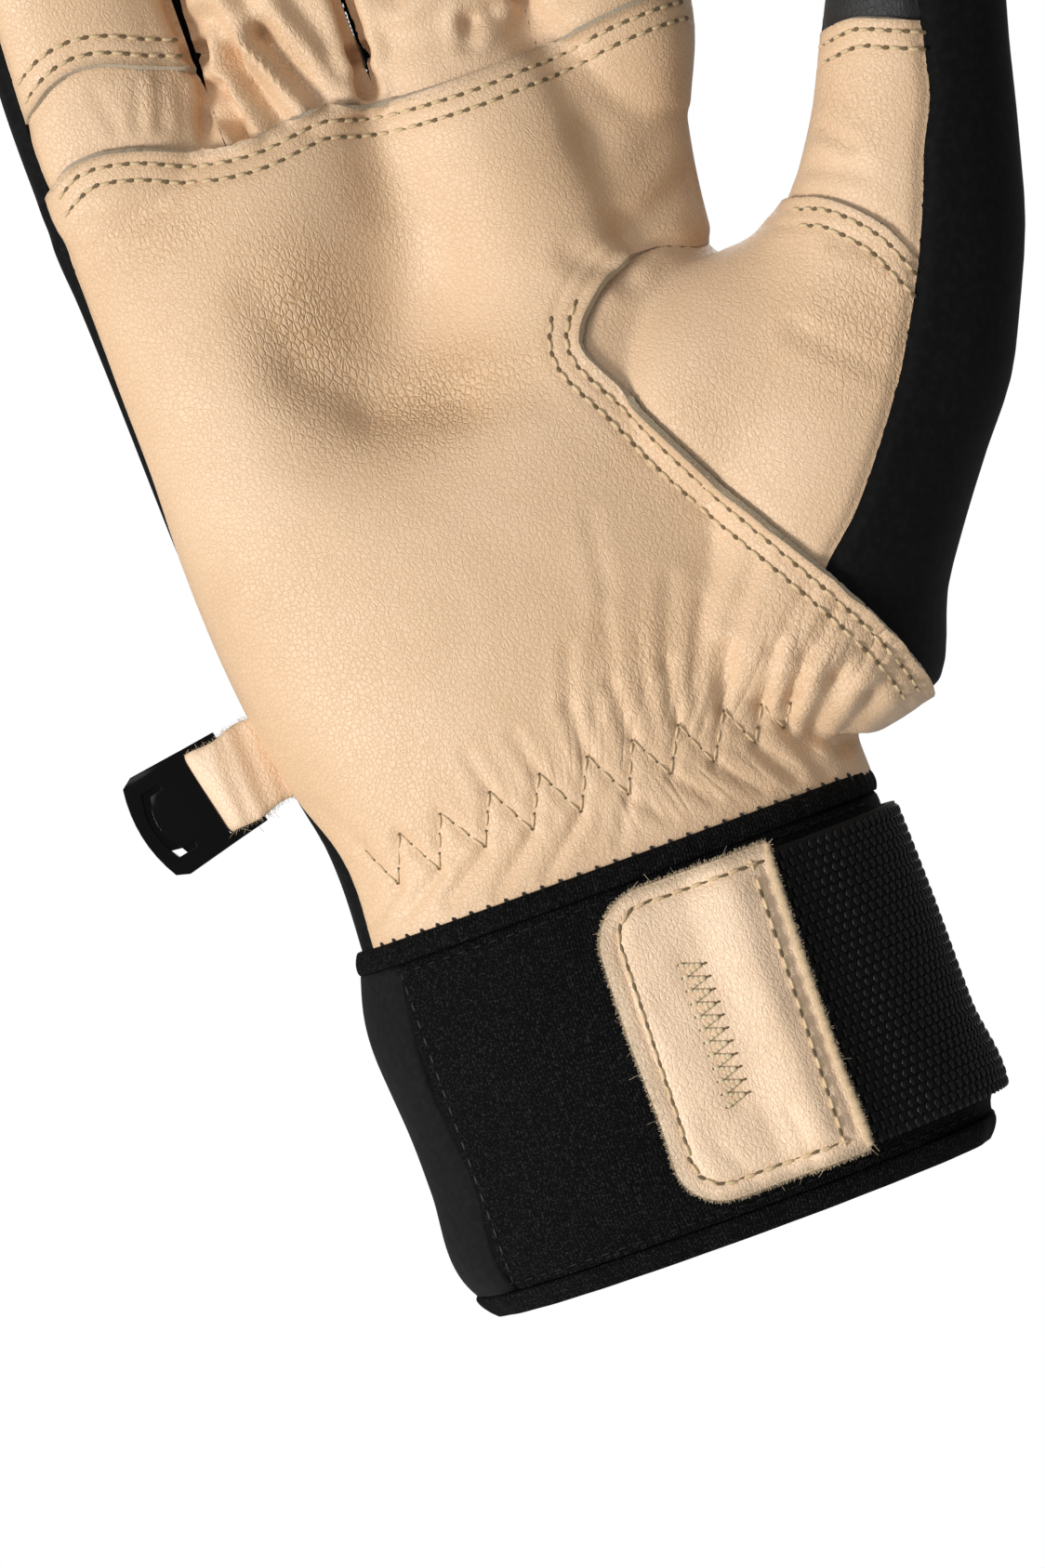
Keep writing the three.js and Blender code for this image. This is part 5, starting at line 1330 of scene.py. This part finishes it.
# Dark beads where each stitch dips into the leather: painted shade of the needle holes.
tab_shade_beads = sew("tab_hole_shade", tab_seam, painted_hole_shade, TAB_STITCH, (1.5, 0.6, 0.34),
                (TAB_STITCH / 2, 0, 0.02), sides=7)

# Raw-edge fibres: cut leather sheds short fibres of its flesh side, which stand out from the edges
# of the tab, its strip and the palm at all angles. A few longer ones hang loose.
RIM_LOW, RIM_HIGH, RIM_RIGHT = 63, 133, 53  # the raw edge beside the thumb's seam
RIM_WEB_LEFT, RIM_WEB_LOW = 29, 120  # it stops short of the web
FINGER_RIM_LEFT, FINGER_RIM_RIGHT = -43, 50
# Single fibres: pale where they catch the light, and without shine. They are drawn thicker than
# real ones, so that they show.
leather_fibre = suede("leather_fibre", "#d9c6a8", "#b59d7a")


def fringe_tree():
    """Three-sided fibres of random lengths and angles along a path."""
    tree = bpy.data.node_groups.new("fringe", "GeometryNodeTree")
    given = inputs_of(tree, {"Pitch": "Float", "Length": "Float", "Width": "Float", "Seed": "Int",
                             "Fibre": "Material"})
    curve = put(tree, "GeometryNodeMeshToCurve", inputs={"Mesh": given["Paths"]})
    spaced = put(tree, "GeometryNodeResampleCurve", {"mode": "LENGTH"},
                 {"Curve": curve.outputs[0], "Length": given["Pitch"]})
    fibre = put(tree, "GeometryNodeMeshCone",
                inputs={"Vertices": 3, "Side Segments": 1, "Radius Top": given["Width"],
                        "Radius Bottom": given["Width"], "Depth": given["Length"]})
    out = put(tree, "GeometryNodeInputNamedAttribute", {"data_type": "FLOAT_VECTOR"}, {"Name": "out"})
    aim = put(tree, "FunctionNodeAlignRotationToVector", {"axis": "Z"}, {"Vector": out.outputs[0]})
    sway = put(tree, "FunctionNodeRandomValue", {"data_type": "FLOAT_VECTOR"},
               {0: (-1.1, -1.1, -1.1), 1: (1.1, 1.1, 1.1), "Seed": given["Seed"]})
    bend = put(tree, "FunctionNodeEulerToRotation", inputs={"Euler": sway.outputs[0]})
    turned_aim = put(tree, "FunctionNodeRotateRotation", {"rotation_space": "LOCAL"},
                     {"Rotation": aim.outputs[0], "Rotate By": bend.outputs[0]})
    size = put(tree, "FunctionNodeRandomValue", {"data_type": "FLOAT"},
               {2: 0.25, 3: 1.0, "Seed": given["Seed"]})
    laid = put(tree, "GeometryNodeInstanceOnPoints",
               inputs={"Points": spaced.outputs[0], "Instance": fibre.outputs[0],
                       "Rotation": turned_aim.outputs[0], "Scale": size.outputs[1]})
    plain = put(tree, "GeometryNodeRealizeInstances", inputs={"Geometry": laid.outputs[0]})
    coloured = put(tree, "GeometryNodeSetMaterial",
                   inputs={"Geometry": plain.outputs[0], "Material": given["Fibre"]})
    put(tree, "NodeGroupOutput", inputs={0: coloured.outputs[0]})
    return tree


fringe = fringe_tree()


def fray(name, paths, pitch, length, width, seed):
    """Fibres along a cut edge, which stand out the way the edge faces."""
    piece = laid_out(name, paths, fringe, {"Pitch": pitch * MM, "Length": length * MM, "Width": width * MM,
                                           "Seed": seed, "Fibre": leather_fibre})


def tab_rim(height):
    """The tab's cut edge at one height through its thickness, with the way out of it."""
    z = np.linspace(TAB_HIGH, TAB_LOW, 260)
    x = tab_left(z)
    low_x = np.linspace(x[-1], tab_right(TAB_LOW), 60)[1:]
    high_x = np.linspace(TAB_RIGHT, x[0], 60)[:-1]
    xs = np.concatenate([high_x, x, low_x])
    zs = np.concatenate([np.full_like(high_x, TAB_HIGH), z, np.full_like(low_x, TAB_LOW)])
    along = np.column_stack([np.gradient(xs), np.gradient(zs)])
    along /= np.linalg.norm(along, axis=1)[:, None]
    spots = cuff_points(turn_of(xs), zs, tab_lift(xs) + height)
    return spots, np.column_stack([along[:, 1], np.full(len(xs), -0.25), -along[:, 0]])


fray("tab_fibres", [tab_rim(h) for h in (0.25, 0.6, 0.95, 1.25)], 0.16, 0.75, 0.035, 3)
fray("tab_loose_fibres", [tab_rim(1.1)], 3.4, 2.1, 0.03, 8)
z = np.linspace(TAB_LOW + 0.5, TAB_HIGH - 0.2, 400)
outward = np.tile((0.9, -0.35, 0.0), (len(z), 1))
strip_turn = turn_of(tab_right(z) + 0.25)
strip_edge = [(cuff_points(strip_turn, z, np.full_like(z, tab_lift(TAB_RIGHT) + height)), outward)
              for height in (0.5, 0.9, 1.3, 1.6)]
fray("strip_fibres", strip_edge, 0.22, 0.5, 0.03, 5)
fray("strip_loose_fibres", strip_edge[-1:], 6.0, 1.6, 0.03, 12)
thumb_rim = stretch_of(beside(thumb_seam, 0.25),
                       lambda x, z: ((z > RIM_LOW) & (z < RIM_HIGH) & (x < RIM_RIGHT)
                                     & ((x < RIM_WEB_LEFT) | (z < RIM_WEB_LOW))))
finger_rim = stretch_of(beside(finger_seam, -0.25), across(FINGER_RIM_LEFT, FINGER_RIM_RIGHT))
raw_edges = [lay_on(hand_surface, rim) for rim in (thumb_rim, finger_rim)]
fray("palm_edge_fibres", raw_edges, 0.3, 0.45, 0.03, 21)

# Bartack: a dense zigzag of thicker, glossy polyester thread through the tab, the strap and the hook
# patch under them. It takes the pull when the strap is opened.
BARTACK_LEFT, BARTACK_RIGHT, BARTACK_LOW, BARTACK_HIGH, BARTACK_LEGS = 3.1, 6.1, 18.3, 39.4, 22
BARTACK_SLANT = 0.02
# Trilobal polyester: paler and glossier than the seams' thread.
shiny_thread = yarn("lustrous_polyester_thread", "#e6d5b6", "#c2aa82", rough=0.45)
steps = np.linspace(BARTACK_LOW, BARTACK_HIGH, BARTACK_LEGS + 1)
turns = [((BARTACK_LEFT, BARTACK_RIGHT)[k % 2] + BARTACK_SLANT * (z - BARTACK_LOW), z)
         for k, z in enumerate(steps)]
bartack_paths = [lay_on(tab_surface, straight(a, b, 0.45)) for a, b in zip(turns, turns[1:])]
bartack = sew("tab_bartack", bartack_paths, shiny_thread, 0.6, (1.1, 0.58, 0.6), (0, 0, 0.14))
needle_turns = [lay_on(tab_surface, straight(a, (a[0] + 0.6, a[1]), 0.0)) for a in turns]
# Dark beads at the turns of the zigzag: painted shade of the needle holes.
bartack_holes = sew("tab_bartack_hole_shade", needle_turns, painted_hole_shade, 1.2, (0.75, 0.42, 0.28), sides=7)

# Clip: a flat hook moulded in glossy black nylon, which hangs the pair together. It is the solid
# itself, with its loose triangles joined, its flat faces merged and its edges softened.
CLIP_EDGE = 0.45
CLIP_NODE = "glove_clip"


def moulded_nylon(name, base):
    """A polished mould's skin: a sharp gloss that varies a little."""
    material, tree, shader = new_material(name)
    place = put(tree, "ShaderNodeTexCoord").outputs["Object"]
    skin = put(tree, "ShaderNodeTexNoise", inputs={"Vector": place, "Scale": per_mm(1.4), "Detail": 2})
    rough = put(tree, "ShaderNodeMapRange",
                inputs={"Value": skin.outputs["Fac"], "To Min": 0.07, "To Max": 0.16})
    feed(tree, shader, {"Base Color": linear(base), "Roughness": rough.outputs[0],
                        "Specular IOR Level": 0.24})
    return material


# Injection-moulded nylon: deep black, with clear reflections along its edges.
black_nylon = moulded_nylon("black_moulded_nylon", "#040404")
clip_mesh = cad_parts[CLIP_NODE].data.copy()
clip_mesh.materials.clear()
glove_clip = new_piece("glove_clip", clip_mesh, (black_nylon,))
bm = bmesh.new()
bm.from_mesh(clip_mesh)
bmesh.ops.remove_doubles(bm, verts=bm.verts, dist=0.001 * MM)
bmesh.ops.dissolve_limit(bm, angle_limit=np.radians(4), verts=bm.verts, edges=bm.edges)
bm.to_mesh(clip_mesh)
bm.free()
soften = glove_clip.modifiers.new("soften", "BEVEL")
soften.width = CLIP_EDGE * MM
soften.segments = 3
soften.angle_limit = np.radians(25)
settle(glove_clip)
glove_clip.data.shade_smooth()
glove_clip.data.set_sharp_from_angle(angle=np.radians(45))
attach(glove_clip, "root")
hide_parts(CLIP_NODE)

# Hanging loop and gate: a short strip of goatskin from the seam at the little finger's side, folded
# round the clip's inner bar, with raw edges at both sides. The gate is a thin nylon tongue behind
# the clip's slot.
HANG_AT, HANG_TILT = (-41.65, -2.42, 87.0), np.radians(12)
LOOP_HALF_WIDE, LOOP_WALL, BAR_OUT = 6.55, 1.35, 7.75
LOOP_LONG = 9.6  # from the bar to the seam
GATE = [(15.2, -5.6), (17.2, -5.6), (17.6, -4.4), (19.2, -3.9), (19.9, -1.6), (20.1, 0), (19.9, 2.4),
        (19.2, 5.6), (15.2, 5.6)]  # out, up
GATE_FRONT, GATE_BACK = 0.55, 1.35


def hung(out, deep, up):
    """A place in the loop's own frame: out from the glove's side, deep to the back, and up."""
    x = HANG_AT[0] - np.cos(HANG_TILT) * out - np.sin(HANG_TILT) * up
    z = HANG_AT[2] - np.sin(HANG_TILT) * out + np.cos(HANG_TILT) * up
    return np.stack([x, HANG_AT[1] + deep, z], axis=-1)


run, wide = np.meshgrid(np.linspace(-1, 1, 121), np.linspace(-1, 1, 41))
side, stretch = np.sign(run), np.abs(run)
bend = np.clip((0.36 - stretch) / 0.36, 0, 1) * np.pi / 2
half = 2.1 - 1.7 * ease((stretch - 0.62) / 0.38)
out = BAR_OUT + 2.32 * np.sin(bend) - LOOP_LONG * 2 * ease(np.clip((stretch - 0.36) / 0.64, 0, 1) / 2)
deep = side * half * np.cos(bend)
plump = np.cos(wide * np.pi / 2) * np.sin(np.pi * np.clip(stretch * 1.2, 0, 1))
puff = 0.22 * plump + 0.1 * np.sin(out * 1.9 + wide * 2.3)
up = LOOP_HALF_WIDE * wide + 0.25 * np.sin(out * 0.8)
outward = LOOP_WALL / 2 * (1 - 0.5 * np.abs(wide) ** 14) + puff
outer = hung(out + outward * np.sin(bend), deep + side * outward * np.cos(bend), up)
inner = hung(out - LOOP_WALL / 2 * np.sin(bend), deep - side * LOOP_WALL / 2 * np.cos(bend), up)
# The loop's goatskin is the paler, lit copy of the palm's: painted light.
clip_loop = slab("clip_loop", outer, inner, (lit_goatskin,))
worn_edge = np.tile(np.ravel(0.9 * np.exp(-(1 - np.abs(wide)) / 0.05)), 2)
mark(clip_loop.data, rub=worn_edge, flex=np.full(len(worn_edge), 0.22))
clip_loop.data.set_sharp_from_angle(angle=np.radians(50))
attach(clip_loop, "root")
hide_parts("clip_loop")
loop_edges = []
for row in (0, -1):
    way = hung(0, 0, np.sign(wide[row, 0])) - hung(0, 0, 0) - (0, 0.4, 0)
    loop_edges.append((outer[row], np.tile(way, (len(outer[row]), 1))))
fray("loop_fibres", loop_edges, 0.22, 0.9, 0.03, 31)
fray("loop_loose_fibres", loop_edges[:1], 1.1, 2.2, 0.03, 33)
bm = bmesh.new()
closed_loft(bm, [[hung(out, deep, up) for out, up in GATE] for deep in (GATE_FRONT, GATE_BACK)])
bmesh.ops.recalc_face_normals(bm, faces=bm.faces)
gate_mesh = bpy.data.meshes.new("clip_gate")
bm.to_mesh(gate_mesh)
bm.free()
clip_gate = new_piece("clip_gate", gate_mesh, (black_nylon,))
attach(clip_gate, "root")

# Studio: a pale floor below the glove, which is held up by its opening, soft light from the left
# and a weaker fill on white. The camera stands straight before the palm, rolled so that the glove
# leans to the left.
CAMERA_AIM = Vector((-8.4, 0, 70.9)) * MM
CAMERA_FAR = 0.95
CAMERA_ROLL = np.radians(20)
FLOOR_LEVEL = -0.13
LIGHT_AIM = Vector((0, 0, 0.11))
camera_data = bpy.data.cameras.new("camera")
camera_data.sensor_fit = "VERTICAL"
camera_data.sensor_height = 36
camera_data.lens = 150
camera_data.clip_end = 20
camera = bpy.data.objects.new("camera", camera_data)
camera.rotation_mode = "XYZ"
camera.location = CAMERA_AIM - Vector((0, CAMERA_FAR, 0))
camera.rotation_euler = (np.pi / 2, CAMERA_ROLL, 0)
bpy.context.scene.collection.objects.link(camera)
bpy.context.scene.camera = camera

floor_mesh = bpy.data.meshes.new("floor")
bm = bmesh.new()
bmesh.ops.create_circle(bm, cap_ends=True, radius=0.4, segments=96)
bm.to_mesh(floor_mesh)
bm.free()
floor_mesh.transform(Matrix.Translation((0, 0, FLOOR_LEVEL)))
# Painted board: matt and nearly white, so it sends a little light back up.
matt_white, floor_tree, floor_shader = new_material("matt_white_floor")
feed(floor_tree, floor_shader, {"Base Color": linear("#f4f4f2"), "Roughness": 0.9})
new_piece("floor", floor_mesh, (matt_white,))


def soft_light(name, place, energy, size):
    """A round panel of light that faces the glove."""
    lamp = bpy.data.lights.new(name, "AREA")
    lamp.energy = energy
    lamp.shape = "DISK"
    lamp.size = size
    holder = bpy.data.objects.new(name, lamp)
    holder.location = place
    holder.rotation_euler = (LIGHT_AIM - Vector(place)).to_track_quat("-Z", "Y").to_euler()
    bpy.context.scene.collection.objects.link(holder)


soft_light("key", (-0.98, -0.8, 0.04), 13.8, 0.36)
soft_light("fill", (-0.45, -1.05, 0.75), 3.2, 0.8)
soft_light("back", (0.3, 0.9, 0.6), 4, 0.8)
bpy.context.scene.view_settings.view_transform = "Standard"
world = bpy.data.worlds.new("white_studio")
world.use_nodes = True
bpy.context.scene.world = world
sky = world.node_tree
seen = put(sky, "ShaderNodeBackground", inputs={"Color": (1, 1, 1, 1), "Strength": 1.0})
lighting = put(sky, "ShaderNodeBackground", inputs={"Color": (1, 1, 1, 1), "Strength": 0.28})
eye = put(sky, "ShaderNodeLightPath")
both = put(sky, "ShaderNodeMixShader",
           inputs={0: eye.outputs["Is Camera Ray"], 1: lighting.outputs[0], 2: seen.outputs[0]})
feed(sky, sky.nodes["World Output"], {"Surface": both.outputs[0]})
